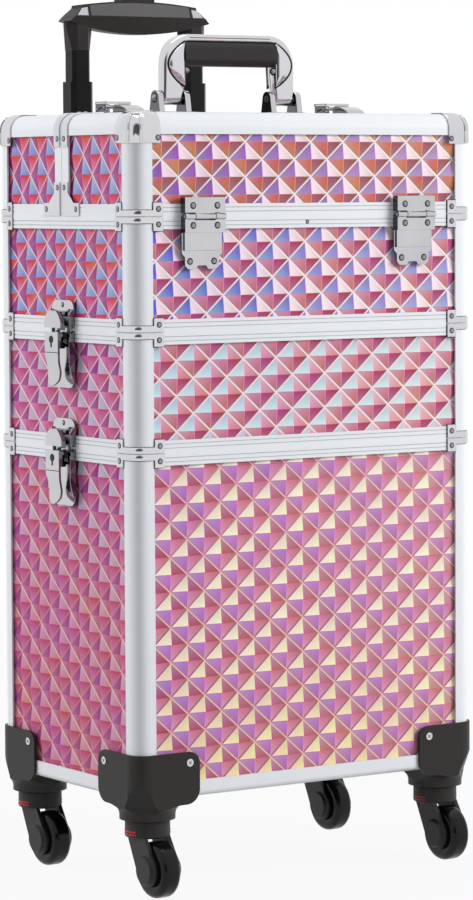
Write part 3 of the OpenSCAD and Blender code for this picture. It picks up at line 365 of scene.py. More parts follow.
# Hues of the iridescent film
film_hues = {
    "cream": (1.00, 0.90, 0.70), "ivory": (1.00, 0.95, 0.85), "pearl": (1.00, 0.95, 0.95), "ice": (0.80, 0.90, 0.95),
    "haze": (0.60, 0.65, 0.85), "mist": (0.80, 0.70, 0.80), "lilac": (0.80, 0.55, 0.85), "wine": (0.60, 0.25, 0.50),
    "plum": (0.70, 0.35, 0.50), "mauve": (0.65, 0.40, 0.45), "berry": (0.80, 0.40, 0.60), "rust": (0.85, 0.50, 0.45),
    "brick": (0.90, 0.40, 0.50), "coral": (0.95, 0.55, 0.60), "rose": (0.85, 0.55, 0.65), "pink": (0.95, 0.70, 0.80),
    "blush": (0.95, 0.85, 0.90), "violet": (0.60, 0.40, 0.75), "apricot": (0.95, 0.65, 0.45),
    "cornflower": (0.45, 0.50, 0.85)}

# Levels of the seams on the film's colour scale
low_seam, mid_seam, top_seam = ((z - case_low.z) / (lid_top - case_low.z) for z in (seam_low, seam_mid, seam_top))


def tiers(names):
    """Stops for one facet: hues at the bin's foot, middle and rim, then one for each tier above."""
    bottom, half, rim, middle, top, lid = (film_hues[name] for name in names.split())
    soft = 0.02
    return [(0.03, bottom), (0.25, half), (low_seam - 0.03, rim), (low_seam + soft, middle),
            (mid_seam - soft, middle), (mid_seam + soft, top), (top_seam - soft, top), (top_seam + soft, lid)]


def film_material(name, axis, start, length, fading, bands, hue_drift, light_drift, colour_drift):
    """Iridescent film whose facets change hue from tier to tier; fading gives for a facet the hue, and its share,
    that it takes on along the wall."""
    material, tree, surface = new_material(name)
    place = coordinate(tree, "Object")
    parts = add_node(tree, "ShaderNodeSeparateXYZ", {0: place}).outputs
    wander = times_plus(tree, noise(tree, place, 7.0, detail=1.0), 0.03, -0.015)
    rise = lid_top - case_low.z
    level = math_node(tree, "ADD", parts["Z"], wander)
    level = times_plus(tree, level, 1 / rise, -case_low.z / rise, clamp=True)
    across = times_plus(tree, parts[axis], 1 / length, -start / length, clamp=True)
    values = {"Place": place, "Hue Drift": hue_drift, "Light Drift": light_drift, "Colour Drift": colour_drift}
    for label, names in bands.items():
        values[label] = level_ramp(tree, level, tiers(names))
        if label in fading:
            hue, most = fading[label]
            share = math_node(tree, "MULTIPLY", across, most)
            values[label] = mix_colour(tree, share, values[label], shade(*film_hues[hue]))
    film = place_group(tree, film_facets, values)
    feed(tree, surface, {"Base Color": film["Colour"], "Roughness": film["Roughness"], "Specular IOR Level": 0.15})
    return material


front_film = film_material("front_film", "X", left, right - left, {
    "Top Left": ("ivory", 0.3), "Top Right": ("ivory", 0.25), "Bottom Left": ("apricot", 0.2)}, {
    "Top Left": "cream ivory ivory ice cornflower violet",
    "Top Right": "plum plum plum rose blush blush",
    "Bottom Left": "lilac lilac lilac rose rose rust",
    "Bottom Right": "rose rose rose plum plum mauve",
    "Falling Crease": "apricot apricot coral pearl pearl pearl",
    "Rising Crease": "plum plum rose pearl pearl pearl"}, 0.07, 0.24, 0.4)
side_film = film_material("side_film", "Y", back, front - back, {
    "Bottom Left": ("coral", 0.2), "Bottom Right": ("coral", 0.2), "Top Right": ("ice", 0.2)}, {
    "Top Left": "wine wine wine wine wine wine",
    "Top Right": "rose rose mist mist haze haze",
    "Bottom Left": "plum plum plum berry wine wine",
    "Bottom Right": "berry berry berry berry brick brick",
    "Falling Crease": "coral coral coral pink pink pink",
    "Rising Crease": "brick brick coral pink pink pink"}, 0.09, 0.22, 0.4)


# Embossed boards

relief = 1.8 * mm
valley, ridge = 0.75 * mm, 0.22 * mm
sheet_pitch = (33.5 * mm, 29.6 * mm)
turned_pitch = (29.6 * mm, 33.5 * mm)
front_look, side_look, lining_look = 0, 1, 2


def cut_to_board(corners, width, height):
    """Cuts a polygon of (place on the board, values there) pairs at the board's four edges."""
    for axis, limit, sign in ((0, 0.0, 1), (0, width, -1), (1, 0.0, 1), (1, height, -1)):
        kept = []
        for (p, s), (q, t) in zip(corners, corners[1:] + corners[:1]):
            a, b = sign * (p[axis] - limit), sign * (q[axis] - limit)
            if a >= 0:
                kept.append((p, s))
            if a * b < 0:
                share = a / (a - b)
                kept.append((p.lerp(q, share), s.lerp(t, share)))
        corners = kept
    return corners


class BoardSet:
    """Boards of one body, gathered into one piece."""

    def __init__(self):
        self.verts, self.faces, self.looks, self.facets, self.creases = [], [], [], [], []

    def add(self, corners, look, facet=(0, 0, 0), values=None):
        first = len(self.verts)
        self.verts += corners
        self.faces.append(list(range(first, first + len(corners))))
        self.looks.append(look)
        self.facets += [(*facet, 1.0)] * len(corners)
        self.creases += [(*v, 1.0) for v in values or [(0, 0.5, 0.5)] * len(corners)]

    def wall(self, origin, along, up, out, width, height, pitch, crossing, look):
        """Film board from its lower back corner: rows of pyramids between flat crossed valleys. The sheet
        is cut anywhere, so a crossing of its valleys is given as a distance from the board's middle."""
        half_x, half_y = pitch[0] / 2, pitch[1] / 2
        first_x = (width / 2 + crossing[0]) % pitch[0] - pitch[0]
        first_y = (height / 2 + crossing[1]) % pitch[1] - pitch[1]
        columns, rows = math.ceil((width - first_x) / half_x), math.ceil((height - first_y) / half_y)

        def node(i, j):
            return Vector((first_x + half_x * i, first_y + half_y * j,
                           board_thick - relief if (i + j) % 2 == 0 else board_thick))

        def lay(corners, facet, values):
            kept = cut_to_board(list(zip(corners, values)), width, height)
            if len(kept) > 2:
                spots = [Vector(origin) + along * p.x + up * p.y + out * p.z for p, _ in kept]
                self.add(spots, look, facet, [tuple(v) for _, v in kept])

        def line(corners, facet, strength, fall, light):
            if (corners[1] - corners[0]).cross(corners[2] - corners[0]).z < 0:
                corners.reverse()
            lay(corners, facet, [Vector((strength, fall, light))] * len(corners))

        insets, edges, around = {}, {}, {}
        for j in range(rows):
            for i in range(columns):
                rising, falling = ((i, j), (i + 1, j + 1)), ((i, j + 1), (i + 1, j))
                valley_ends, peaks = (rising, falling) if (i + j) % 2 == 0 else (falling, rising)
                for peak in peaks:
                    key = (*valley_ends, peak)
                    facet = self.facet(key, node, insets, lay)
                    for ends in itertools.combinations(key, 2):
                        edges.setdefault(frozenset(ends), []).append((key, facet, ends))
                    for n in key:
                        middle = [sum(q[c] for q in key) / 3 - n[c] for c in (0, 1)]
                        around.setdefault(n, []).append((math.atan2(middle[1], middle[0]), key))
        for sharing in edges.values():
            if len(sharing) == 2:
                (one, facet, (m, n)), (other, _, _) = sharing
                a, b, c, d = insets[one][m], insets[one][n], insets[other][n], insets[other][m]
                # The creases' lightness is painted light: upright ridges a painted highlight, level ridges painted
                # shade, one half of each falling valley a painted highlight, and a little highlight where valleys
                # cross.
                if (m[0] + m[1] + n[0] + n[1]) % 2 == 1:
                    upright = m[0] == n[0]
                    line([a, b, c, d], facet, strength=0.45, fall=1.0, light=0.85 if upright else 0.25)
                elif (m[0] - n[0]) * (m[1] - n[1]) > 0:
                    line([a, b, c, d], facet, strength=0.85, fall=0.0, light=0.5)
                else:
                    e, f = (a + d) / 2, (b + c) / 2
                    lit = a.x + a.y + b.x + b.y < c.x + c.y + d.x + d.y
                    line([a, b, f, e], facet, strength=0.9, fall=1.0, light=0.9 if lit else 0.5)
                    line([e, f, c, d], facet, strength=0.9, fall=1.0, light=0.5 if lit else 0.9)
        for n, keys in around.items():
            if len(keys) > 3:
                meeting = [insets[key][n] for _, key in sorted(keys)]
                line(meeting, (0, 0, 0), strength=0.9, fall=1.0, light=0.6)
        self.box(origin, along, up, out, width, height, board_thick - relief - 0.3 * mm)

    def facet(self, key, node, insets, lay):
        """One face of a pyramid between two valley crossings and a peak, drawn in from its creases."""
        a, b, p = (node(*n) for n in key)
        area = abs((b - a).to_2d().cross((p - a).to_2d()))
        to_peak, to_a, to_b = (area / (v - w).to_2d().length for v, w in ((b, a), (b, p), (a, p)))
        shares = ((1 - valley / to_peak - ridge / to_b, ridge / to_b, valley / to_peak),
                  (ridge / to_a, 1 - valley / to_peak - ridge / to_a, valley / to_peak),
                  (ridge / to_a, ridge / to_b, 1 - ridge / to_a - ridge / to_b))
        corners = [a * u + b * v + p * w for u, v, w in shares]
        insets[key] = dict(zip(key, corners))
        values = [Vector((0, 0, 0)), Vector((0, 1, 0)), Vector((0, 0.5, 1))]
        leftward, upward = (a.x + b.x) / 2 < p.x, (a.y + b.y) / 2 > p.y
        kind = (float(leftward and upward), float(not leftward and upward), float(leftward and not upward))
        if (b - a).to_2d().cross((p - a).to_2d()) < 0:
            corners, values = [corners[1], corners[0], corners[2]], [values[1], values[0], values[2]]
        lay(corners, kind, values)
        return kind

    def box(self, origin, along, up, out, width, height, thick):
        """The board behind the film, lined inside."""
        o = Vector(origin)
        c = [o + along * width * x + up * height * y + out * thick * z
             for z in (0, 1) for y in (0, 1) for x in (0, 1)]
        for quad in ((0, 2, 3, 1), (4, 5, 7, 6), (0, 1, 5, 4), (2, 6, 7, 3), (0, 4, 6, 2), (1, 3, 7, 5)):
            self.add([c[k] for k in quad], lining_look)

    def piece(self, name, body, node):
        made = make_piece(name, body, self.verts, self.faces, [front_film, side_film, black_lining], self.looks,
                          slot="film_board")
        for label, values in (("facet", self.facets), ("crease", self.creases)):
            layer = made.data.attributes.new(label, "FLOAT_COLOR", "CORNER")
            layer.data.foreach_set("color", [c for value in values for c in value])
        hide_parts(node)


# Depths of the walls' backs and of the floors' edges behind the outer faces, and the floors' thickness
inside, floor_inset, floor_thick = 7.6 * mm, 9.2 * mm, 5 * mm


def tier_boards(name, body, node, low, high, floor_at, front_crossing, side_crossing):
    """Four walls and the floor of one tier."""
    boards = BoardSet()
    wide, deep = right - left - 2 * post_radius, back - front - 2 * post_radius
    z, tall = low + rail_web, high - low - 2 * rail_web
    for origin, along, out, length, crossing, look in (
            ((left + post_radius, front + inside, z), x_axis, -y_axis, wide, front_crossing, front_look),
            ((right - post_radius, back - inside, z), -x_axis, y_axis, wide, front_crossing, front_look),
            ((left + inside, back - post_radius, z), -y_axis, -x_axis, deep, side_crossing, side_look),
            ((right - inside, front + post_radius, z), y_axis, x_axis, deep, side_crossing, side_look)):
        boards.wall(origin, along, z_axis, out, length, tall, sheet_pitch, [c * mm for c in crossing], look)
    boards.box((left + floor_inset, front + floor_inset, floor_at), x_axis, y_axis, z_axis,
               right - left - 2 * floor_inset, back - front - 2 * floor_inset, floor_thick)
    boards.piece(name, body, node)


def lid_boards(name, body, node, outer, inward):
    """Front, ends and top of one half of the lid; inward is +1 for the front half."""
    boards = BoardSet()
    deep = abs(split_y - outer) - 0.3 * mm
    wide = right - left - 2 * post_radius
    tall = lid_top - seam_top - post_radius - rail_web
    length = deep - rail_web - post_radius
    d, a = y_axis * inward, x_axis * inward
    near, far = (left, right) if inward > 0 else (right, left)
    low = Vector((near, outer, seam_top + rail_web))
    front_crossing, end_crossing = (4.9 * mm, 24 * mm), (7 * mm, 14 * mm)
    boards.wall(low + a * post_radius + d * inside, a, z_axis, -d, wide, tall, sheet_pitch,
                front_crossing, front_look)
    boards.wall(low + a * inside + d * (post_radius + length), -d, z_axis, -a, length, tall, turned_pitch,
                end_crossing, side_look)
    boards.wall(low + x_axis * (far - near) - a * inside + d * post_radius, d, z_axis, a, length, tall, turned_pitch,
                end_crossing, side_look)
    boards.wall((near + inward * post_radius, outer + inward * post_radius, lid_top - inside), a, d, z_axis, wide,
                length, sheet_pitch, (0, 0), front_look)
    boards.piece(name, body, node)


floor_rise = 4 * mm
tier_boards("bin_film", "bin", "bin_boards", case_low.z, seam_low, case_low.z + rail_web, (27.8, 28.5), (0.4, 4.9))
tier_boards("middle_film", "middle_tier", "middle_boards", seam_low, seam_mid, seam_low + floor_rise,
            (1.9, 25.9), (18, 28.9))
tier_boards("top_film", "top_case", "top_boards", seam_mid, seam_top, seam_mid + floor_rise,
            (15.4, 10.9), (16.9, 10.1))
lid_boards("front_lid_film", "front_lid", "front_lid_boards", front, 1)
lid_boards("rear_lid_film", "rear_lid", "rear_lid_boards", back, -1)


# Finishes of the solids that stay

def dress(node, material, edge=0.0):
    """Gives a solid its finish, with its edges broken by a small bevel."""
    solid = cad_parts[node]
    solid.data.materials.clear()
    solid.data.materials.append(material)
    weld = solid.modifiers.new("joined_faces", "WELD")
    weld.merge_threshold = 0.01 * mm
    if edge:
        bevel = solid.modifiers.new("broken_edges", "BEVEL")
        bevel.width = edge * mm
        bevel.segments = 2
        bevel.limit_method = "ANGLE"
        bevel.angle_limit = math.radians(35)
        bevel.harden_normals = True


for name in ("bin_frame", "middle_frame", "top_frame", "front_lid_frame", "rear_lid_frame"):
    dress(name, satin_aluminium)
for name in ("bin_braces", "middle_braces", "top_braces", "front_lid_fittings", "rear_lid_fittings", "handle_pins",
             "hinge_pins", "shoe_screws"):
    dress(name, bright_chrome, 0.3)
for name in ("hinge_leaves", "front_lid_hinges", "rear_lid_hinges"):
    dress(name, front_shaded_chrome, 0.4)
for name in ("handle_brackets", "left_lid_latch", "right_lid_latch", "front_lid_strikes", "rear_lid_latch_bases"):
    dress(name, cast_shaded_chrome, 0.4)
for name in ["bin_latch_bases", "middle_latch_bases", "middle_latch_keepers", "top_latch_keepers"] + [
        f"{side}_{level}_{part}" for side in ("left", "right") for level in ("bin", "tier")
        for part in ("lever", "catch")]:
    dress(name, side_shaded_chrome, 0.4)
for name in ("corner_shoes", "trolley_brackets", "trolley_grip", "trolley_button"):
    dress(name, moulded_black, 0.6)
for name in ("trolley_sleeves", "lower_tubes", "upper_tubes"):
    dress(name, tube_black, 0.3)
dress("handle_grip", grip_black)
for end in ("front", "rear"):
    for side in ("left", "right"):
        dress(f"{end}_{side}_fork", moulded_black, 0.4)
        dress(f"{end}_{side}_wheel", wheel_black, 0.2)


# Rivets

def rivets(name, body, spots, radius=1.8):
    """Domed rivet heads of chrome darkened as painted shade, one on each (place, outward normal), each in a ring of
    painted shade.
    """
    dome = [(1.0, -0.1), (1.0, 0.12), (0.86, 0.36), (0.6, 0.52), (0.3, 0.6)]
    heads = turned([(radius * r * mm, radius * h * mm) for r, h in dome], spots)
    rings = turned([(radius * r * mm, radius * h * mm) for r, h in ((1.42, -0.1), (1.4, 0.04))], spots)
    looks = [0] * len(heads[1]) + [1] * len(rings[1])
    make_piece(name, body, *gathered([heads, rings]), [shaded_rivet_chrome, painted_shade], looks, smooth=True, slot="chrome")


def corner_spots(level, rows):
    """One rivet on each wing of the fittings round the corners of the front (-1) and back (1) rows."""
    inset, spots = 23.5 * mm, []
    for row in rows:
        y = row_y[row]
        for x, s in sides:
            spots.append((Vector((x - s * inset, y + row * sheet, level)), y_axis * row))
            spots.append((Vector((x + s * sheet, y - row * inset, level)), x_axis * s))
    return spots


def brace_shade_lines(name, body, seams, rows):
    """Lines of painted shade where the braces end, from (seam, +1 above it or -1 below it) pairs."""
    reach, flange, tall, band, off = 28.3 * mm, post_flange - 0.3 * mm, 11.8 * mm, 5.5 * mm, 0.3 * mm
    parts = []
    for seam, way in seams:
        low, full, narrow = seam + way * 0.3 * mm, seam + way * (tall + off), seam + way * (band + off)
        wing = [(reach, low), (reach, full), (flange, full), (flange, narrow)]
        for row in rows:
            y = row_y[row]
            for x, s in sides:
                path = [(Vector((x - s * a, y, z)), y_axis * row) for a, z in wing]
                centre = Vector((x - s * post_radius, y - row * post_radius, narrow))
                for k in range(7):
                    turn = math.pi / 2 * k / 6
                    out = Vector((s * math.sin(turn), row * math.cos(turn), 0))
                    path.append((centre + out * post_radius, out))
                path += [(Vector((x, y - row * a, z)), x_axis * s) for a, z in reversed(wing)]
                parts.append(raised_strip(path, 0.7 * mm, 0.15 * mm))
    make_piece(name, body, *gathered(parts), [painted_shade], slot="chrome")


def flute_shade_lines(name, body, seams, rows):
    """A grey line of painted shade in each of a rail's two flutes; a body with both rows has them on its sides too.
    """
    reach, sunk, wide, high = 29 * mm, 0.5 * mm, 0.76 * mm, 0.1 * mm
    runs, parts = [], []
    for row in rows:
        y = row_y[row] - row * sunk
        runs.append((left + reach, y, right - reach, y, y_axis * row))
    if len(rows) == 2:
        for x, s in sides:
            x -= s * sunk
            runs.append((x, front + reach, x, back - reach, x_axis * s))
    for x0, y0, x1, y1, out in runs:
        for z in [seam + way * rise * mm for seam, way in seams for rise in (4.0, 7.5)]:
            parts.append(raised_strip([(Vector((x0, y0, z)), out), (Vector((x1, y1, z)), out)], wide, high))
    make_piece(name, body, *gathered(parts), [flute_shade_grey], slot="aluminium")


# Label, body, seams and rows: first the tiers, then the lid
both = (-1, 1)
seam_sets = (("bin", "bin", [(seam_low, -1)], both),
             ("middle", "middle_tier", [(seam_low, 1), (seam_mid, -1)], both),
             ("top", "top_case", [(seam_mid, 1), (seam_top, -1)], both),
             ("front_lid", "front_lid", [(seam_top, 1)], (-1,)),
             ("rear_lid", "rear_lid", [(seam_top, 1)], (1,)))
brace_rise = 6.4 * mm
for label, body, seams, rows in seam_sets[:3]:
    rivets(label + "_rivets", body,
           [spot for seam, way in seams for spot in corner_spots(seam + way * brace_rise, rows)])
for label, body, seams, rows in seam_sets:
    brace_shade_lines(label + "_brace_shade_lines", body, seams, rows)


def screw_slot_shade():
    """Cross slots in the heads of the shoes' screws, drawn as raised strips of painted shade."""
    parts = []
    inset, rise, out_by, half = 50 * mm, 30 * mm, 3.2 * mm, 1.9 * mm
    for row, y in row_y.items():
        for x, s in sides:
            for place, out in ((Vector((x - s * inset, y + row * out_by, case_low.z + rise)), y_axis * row),
                               (Vector((x + s * out_by, y - row * inset, case_low.z + rise)), x_axis * s)):
                across, up, _ = square_frame(out)
                for arm in (across + up, across - up):
                    reach = arm.normalized() * half
                    parts.append(raised_strip([(place - reach, out), (place + reach, out)], 0.8 * mm, 0.12 * mm))
    make_piece("screw_slot_shade", "bin", *gathered(parts), [painted_shade], slot="chrome")


screw_slot_shade()


def lid_rivets(body, row):
    """Rivets of the seam braces, the top corner caps, the angle plates at the split and the straps over it."""
    strap = 5.5
    spots = corner_spots(seam_top + brace_rise, [row]) + corner_spots(lid_top - 21.5 * mm, [row])
    for x, s in sides:
        for off, level in ((strap, seam_top + 24.6 * mm), (24.5, seam_top + 6.2 * mm), (strap, lid_top - 21 * mm)):
            spots.append((Vector((x + s * sheet, split_y + row * off * mm, level)), x_axis * s))
        spots.append((Vector((x - s * 21 * mm, split_y + row * strap * mm, lid_top + sheet)), z_axis))
    rivets(body + "_rivets", body, spots)


lid_rivets("front_lid", -1)
lid_rivets("rear_lid", 1)

hinge_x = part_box("front_lid_hinges")[1].x - 20 * mm
hinge_face, hinge_foot = 7 * mm, 1.5 * mm


def hinge_spots(row, rise, out):
    """Two rivets on each hinge of a row, at a rise in mm above the lid's seam."""
    y = row_y[row]
    return [(Vector((s * hinge_x + dx * mm, y + row * out, seam_top + rise * mm)), y_axis * row)
            for s in (-1, 1) for dx in (-12, 12)]


for row, body in ((-1, "front_lid"), (1, "rear_lid")):
    rivets(body + "_hinge_rivets", body, hinge_spots(row, 9, hinge_face), 2.1)
rivets("top_hinge_rivets", "top_case",
       [spot for row in both for rise, out in ((-7.5, hinge_face), (-37.5, hinge_foot))
        for spot in hinge_spots(row, rise, out)], 2.1)
rivets("rail_rivet", "top_case", [(Vector((-mm, front, seam_top - 5.5 * mm)), -y_axis)], 1.3)

keeper_out, keeper_rise = 1.5 * mm, 21 * mm
for body, seam in (("middle_tier", seam_low), ("top_case", seam_mid)):
    spots = [(Vector((x + s * keeper_out, middle_y, seam + keeper_rise)), x_axis * s) for x, s in sides]
    rivets(body + "_keeper_rivets", body, spots, 1.7)

for label, body, seams, rows in seam_sets:
    flute_shade_lines(label + "_flutes", body, seams, rows)


# Top latches: pin heads, a painted highlight along the levers' upper edges, painted shade in the slots on the levers
# and along the strikes

def top_latch_marks():
    latch_place, lever_half, strike_half = 115, 12.3, 9
    lines = []
    for side, centre in (("left", -latch_place), ("right", latch_place)):
        heads, edges = [], []
        for s in (-1, 1):
            def spot(x, y, z):
                return Vector(((centre + s * x) * mm, split_y + y * mm, lid_top + z * mm))

            def strip(x, path, wide, high):
                return raised_strip([(spot(x, y, z), x_axis * s) for y, z in path], wide * mm, high * mm)

            heads += [(spot(lever_half, y, z), x_axis * s) for y, z in ((8, 6), (19.5, 4.6))]
            # A bright chrome strip as a painted highlight along the upper edge, and a strip of painted shade in the
            # slot below it
            edges += [strip(lever_half, [(5, 9.9), (20.2, 9.9)], 1.8, 0.9),
                      strip(lever_half, [(11.5, 6), (17, 5)], 2.2, 0.15)]
            lines += [strip(strike_half, [(-25, 1.7), (-2, 1.7)], 1.2, 0.15),
                      strip(strike_half, [(-18, 4.4), (-12, 5.6), (-4, 5.6)], 1.4, 0.15)]
        latch = side + "_lid_latch"
        rivets(latch + "_pins", latch, heads, 1.5)
        looks = [0] * len(edges[0][1]) + [1] * len(edges[1][1])
        make_piece(latch + "_edges", latch, *gathered(edges), [bright_chrome, painted_shade], looks * 2, slot="chrome")
    make_piece("strike_shade_lines", "front_lid", *gathered(lines), [painted_shade], slot="chrome")


top_latch_marks()


# Draw latches: a keyhole on the lever's face and a line in the groove across it, both black as painted shade

def latch_shade_marks(level, seam):
    face, keyhole, key_foot = 13.05, 8.5, 15.2
    groove_floor, groove, groove_half = 12.5, 19.6, 11
    for side, x, s in (("left", left, -1), ("right", right, 1)):
        def spot(out_by, along, below):
            return Vector((x + s * out_by * mm, middle_y + along * mm, seam - below * mm)), x_axis * s

        core = turned([(3.3 * mm, 0), (3.3 * mm, 0.4 * mm), (3.0 * mm, 0.5 * mm)], [spot(face, 0, keyhole)])
        notch = raised_strip([spot(face, 0, below) for below in (keyhole, key_foot)], 2.8 * mm, 0.45 * mm)
        line = raised_strip([spot(groove_floor, along, groove) for along in (-groove_half, groove_half)],
                            0.7 * mm, 0.3 * mm)
        make_piece(f"{side}_{level}_key", f"{side}_{level}_lever", *gathered([core, notch, line]), [wheel_black],
                   slot="black_plastic")


latch_shade_marks("bin", seam_low)
latch_shade_marks("tier", seam_mid)


# Ribs pressed into the lid's top corner caps: two up each ball, and an arch between them

def cap_ribs(body, row):
    wide, high, foot, radius = 2.8 * mm, 1.1 * mm, 12 * mm, post_radius + sheet
    parts = []
    for x, s in sides:
        ball = Vector((x - s * post_radius, row_y[row] - row * post_radius, lid_top - post_radius))

        def spot(turn, lean):
            turn, lean = math.radians(turn), math.radians(lean)
            level_out = Vector((s * math.cos(turn), row * math.sin(turn), 0))
            out = level_out * math.cos(lean) + z_axis * math.sin(lean)
            return ball + out * radius, out

        for turn in (22, 68):
            rib = [spot(turn, lean) for lean in range(0, 51, 10)]
            parts.append(raised_strip([(rib[0][0] - z_axis * foot, rib[0][1])] + rib, wide, high))
        parts.append(raised_strip([spot(turn, 52) for turn in range(22, 69, 8)], wide, high))
    make_piece(body + "_cap_ribs", body, *gathered(parts), [bright_chrome], smooth=True, slot="chrome")


cap_ribs("front_lid", -1)
cap_ribs("rear_lid", 1)


# Carry handle: a cast loop with broad, rounded legs

def handle_casting():
    pins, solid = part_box("handle_pins"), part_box("handle_loop")
    pivot = (pins[0] + pins[1]) / 2
    half, rise = solid[1].x / mm, (solid[1].z - pivot.z) / mm
    corner, leg, bar, eye, swell, squareness = 27, 21, 7, 6.2, 2.5, 0.62
    stations = []
    for k in range(7):
        a = math.radians(-88 + 88 * k / 6)
        stations.append(((half, eye * math.sin(a)), (half - leg, eye * math.sin(a)), eye * math.cos(a)))
    for k in range(1, 8):
        z, share = (rise - corner) * k / 7, math.sin(math.pi * k / 14)
        stations.append(((half, z), (half - leg - swell * share, z), 6 + 0.8 * share))
    inner_side, inner_top = half - leg - swell, rise - bar
    for k in range(1, 11):
        a = math.pi / 2 * k / 10
        around = (half - corner + corner * math.cos(a), rise - corner + corner * math.sin(a))
        climb = min(1.0, k / 5)
        within = (inner_side - 4 * max(0.0, (k - 5) / 5), rise - corner + (inner_top - rise + corner) * climb)
        stations.append((around, within, 6.8 - 0.6 * k / 10))
    for k in range(1, 7):
        x = (half - corner) * (1 - k / 6)
        stations.append(((x, rise), (x, inner_top), 6.2))
    mirrored = [((-o[0], o[1]), (-i[0], i[1]), d) for o, i, d in reversed(stations[:-1])]
    rings = []
    for outer, inner, depth in stations + mirrored:
        middle = (Vector(outer) + Vector(inner)) / 2
        reach = (Vector(outer) - Vector(inner)) / 2
        ring = []
        for k in range(28):
            a = 2 * math.pi * k / 28
            u, v = (math.copysign(abs(f) ** squareness, f) for f in (math.cos(a), math.sin(a)))
            ring.append(pivot + Vector((middle.x + reach.x * u, depth * v, middle.y + reach.y * u)) * mm)
        rings.append(ring)
    loop = make_piece("handle_casting", "carry_handle", *skinned(rings, capped=True), [bright_chrome], smooth=True,
                      slot="chrome")
    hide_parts("handle_loop")
    # The domes are chrome. The creases are painted shade: a groove round each dome and a line along each face of the
    # top bar.
    domes, creases = [], []
    low, high, inner, bulge = 10, rise - 7, half - leg - 0.5, 16.5
    for s in (-1, 1):
        for face in (-1, 1):
            outline = [(inner + bulge * math.sin(math.pi * k / 16) ** 0.8, low + (high - low) * k / 16)
                       for k in range(17)]
            outline += [(inner, high + (low - high) * k / 8) for k in range(1, 8)]
            centre = Vector((inner + bulge * 0.45, (low + high) / 2))

            def ring(share, wider, lift):
                points = []
                for point in outline:
                    away = Vector(point) - centre
                    away = centre + away * share + away.normalized() * wider
                    points.append(pivot + Vector((s * away.x, face * lift, away.y)) * mm)
                return points if s * face < 0 else list(reversed(points))

            dome = ((1.0, 6.0), (0.97, 7.3), (0.85, 8.0), (0.65, 8.8), (0.4, 9.5), (0.15, 9.8))
            domes.append(skinned([ring(share, 0, lift) for share, lift in dome], capped=True))
            creases.append(skinned([ring(1, 1.5, 5.6), ring(1, 1.4, 7.0), ring(0.98, 0, 7.1)]))
    for face in (-1, 1):
        bar_line = [(pivot + Vector((x, face * 6.15, rise - 3.2)) * mm, y_axis * face)
                    for x in (corner - half, half - corner)]
        creases.append(raised_strip(bar_line, 0.8 * mm, 0.25 * mm))
    make_piece("handle_domes", "carry_handle", *gathered(domes), [bright_chrome], smooth=True, slot="chrome")
    make_piece("handle_crease_shade", "carry_handle", *gathered(creases), [painted_shade], smooth=True, slot="chrome")
    nubs = [(pivot + Vector((s * 45.5, -6.2, 24)) * mm, -y_axis) for s in (-1, 1)]
    rivets("handle_nubs", "carry_handle", nubs, 2.6)
    ends = [(Vector((x, pivot.y, pivot.z)), x_axis * s) for s, x in ((-1, pins[0].x), (1, pins[1].x))]
    rivets("handle_pin_heads", "rear_lid", ends, 3.2)


handle_casting()


# Trolley grip: a lighter grey panel as painted light, and two silver inlays, on its upper facets, in front and behind

def raised_patch(outline, out, high):
    """A flat patch with bevelled edges on an outline of points, raised along its normal."""
    sunk, bevel = 0.3 * mm, 0.5 * mm
    centre = sum(outline, Vector()) / len(outline)
    rings = [[q - out * sunk for q in outline], [q + out * high * 0.6 for q in outline],
             [q + (centre - q).normalized() * bevel + out * high for q in outline]]
    if (outline[1] - outline[0]).cross(outline[2] - outline[1]).dot(out) < 0:
        rings = [list(reversed(ring)) for ring in rings]
    return skinned(rings, capped=True)


def grip_facets():
    low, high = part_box("trolley_grip")
    middle = (low.y + high.y) / 2
    tall, lean = 14.6, 4.9
    crease, peak = high.z - tall * mm, high.z
    panels, inlays = [], []
    for side in (-1, 1):
        def spot(x, z):
            return Vector((x * mm, middle + side * (12.05 * mm - (z - crease) * lean / tall), z))

        out = Vector((0, side * tall, lean)).normalized()
        panel = [spot(x, crease + 0.9 * mm) for x in (-53, 53)]
        panel += [spot(x, peak - 1.3 * mm - 4.1 * mm * (x / 61.5) ** 2)
                  for x in (53, 40, 27, 13, 0, -13, -27, -40, -53)]
        panels.append(raised_patch(panel, out, 0.5 * mm))
        for s in (-1, 1):
            inlay = [spot(s * x, crease + z * mm) for x, z in ((56, 0.9), (67.5, 0.9), (61.5, 7.5), (55.5, 8.5))]
            inlays.append(raised_patch(inlay, out, 0.5 * mm))
    make_piece("grip_panels", "trolley_upper", *gathered(panels), [painted_light_grey], slot="black_plastic")
    make_piece("grip_inlays", "trolley_upper", *gathered(inlays), [silver_paint], slot="chrome")


grip_facets()


# Casters: a red mark on each side of the swivel head

def head_marks(end, side):
    shoe, radius = 24 * mm, 19.2 * mm
    x = left + shoe if side == "left" else right - shoe
    y = front + shoe if end == "front" else back - shoe
    parts = []
    for facing in (0, 180):
        for level in (53.2, 55.6):
            path = []
            for turn in range(-28, 29, 7):
                a = math.radians(facing + turn)
                out = Vector((math.cos(a), math.sin(a), 0))
                path.append((Vector((x, y, level * mm)) + out * radius, out))
            parts.append(raised_strip(path, 1.8 * mm, 0.35 * mm))
    make_piece(f"{end}_{side}_head_marks", f"{end}_{side}_fork", *gathered(parts), [red_mark], slot="caster_plastic")


for end in ("front", "rear"):
    for side in ("left", "right"):
        head_marks(end, side)


# Stage

def add_lamp(name, place, target, size, power, mirrored):
    lamp = bpy.data.lights.new(name, "AREA")
    lamp.shape = "RECTANGLE"
    lamp.size = lamp.size_y = size
    lamp.energy = power
    lit = put(name, lamp)
    lit.location = place
    lit.rotation_euler = (Vector(target) - Vector(place)).to_track_quat("-Z", "Y").to_euler()
    lit.visible_glossy = mirrored


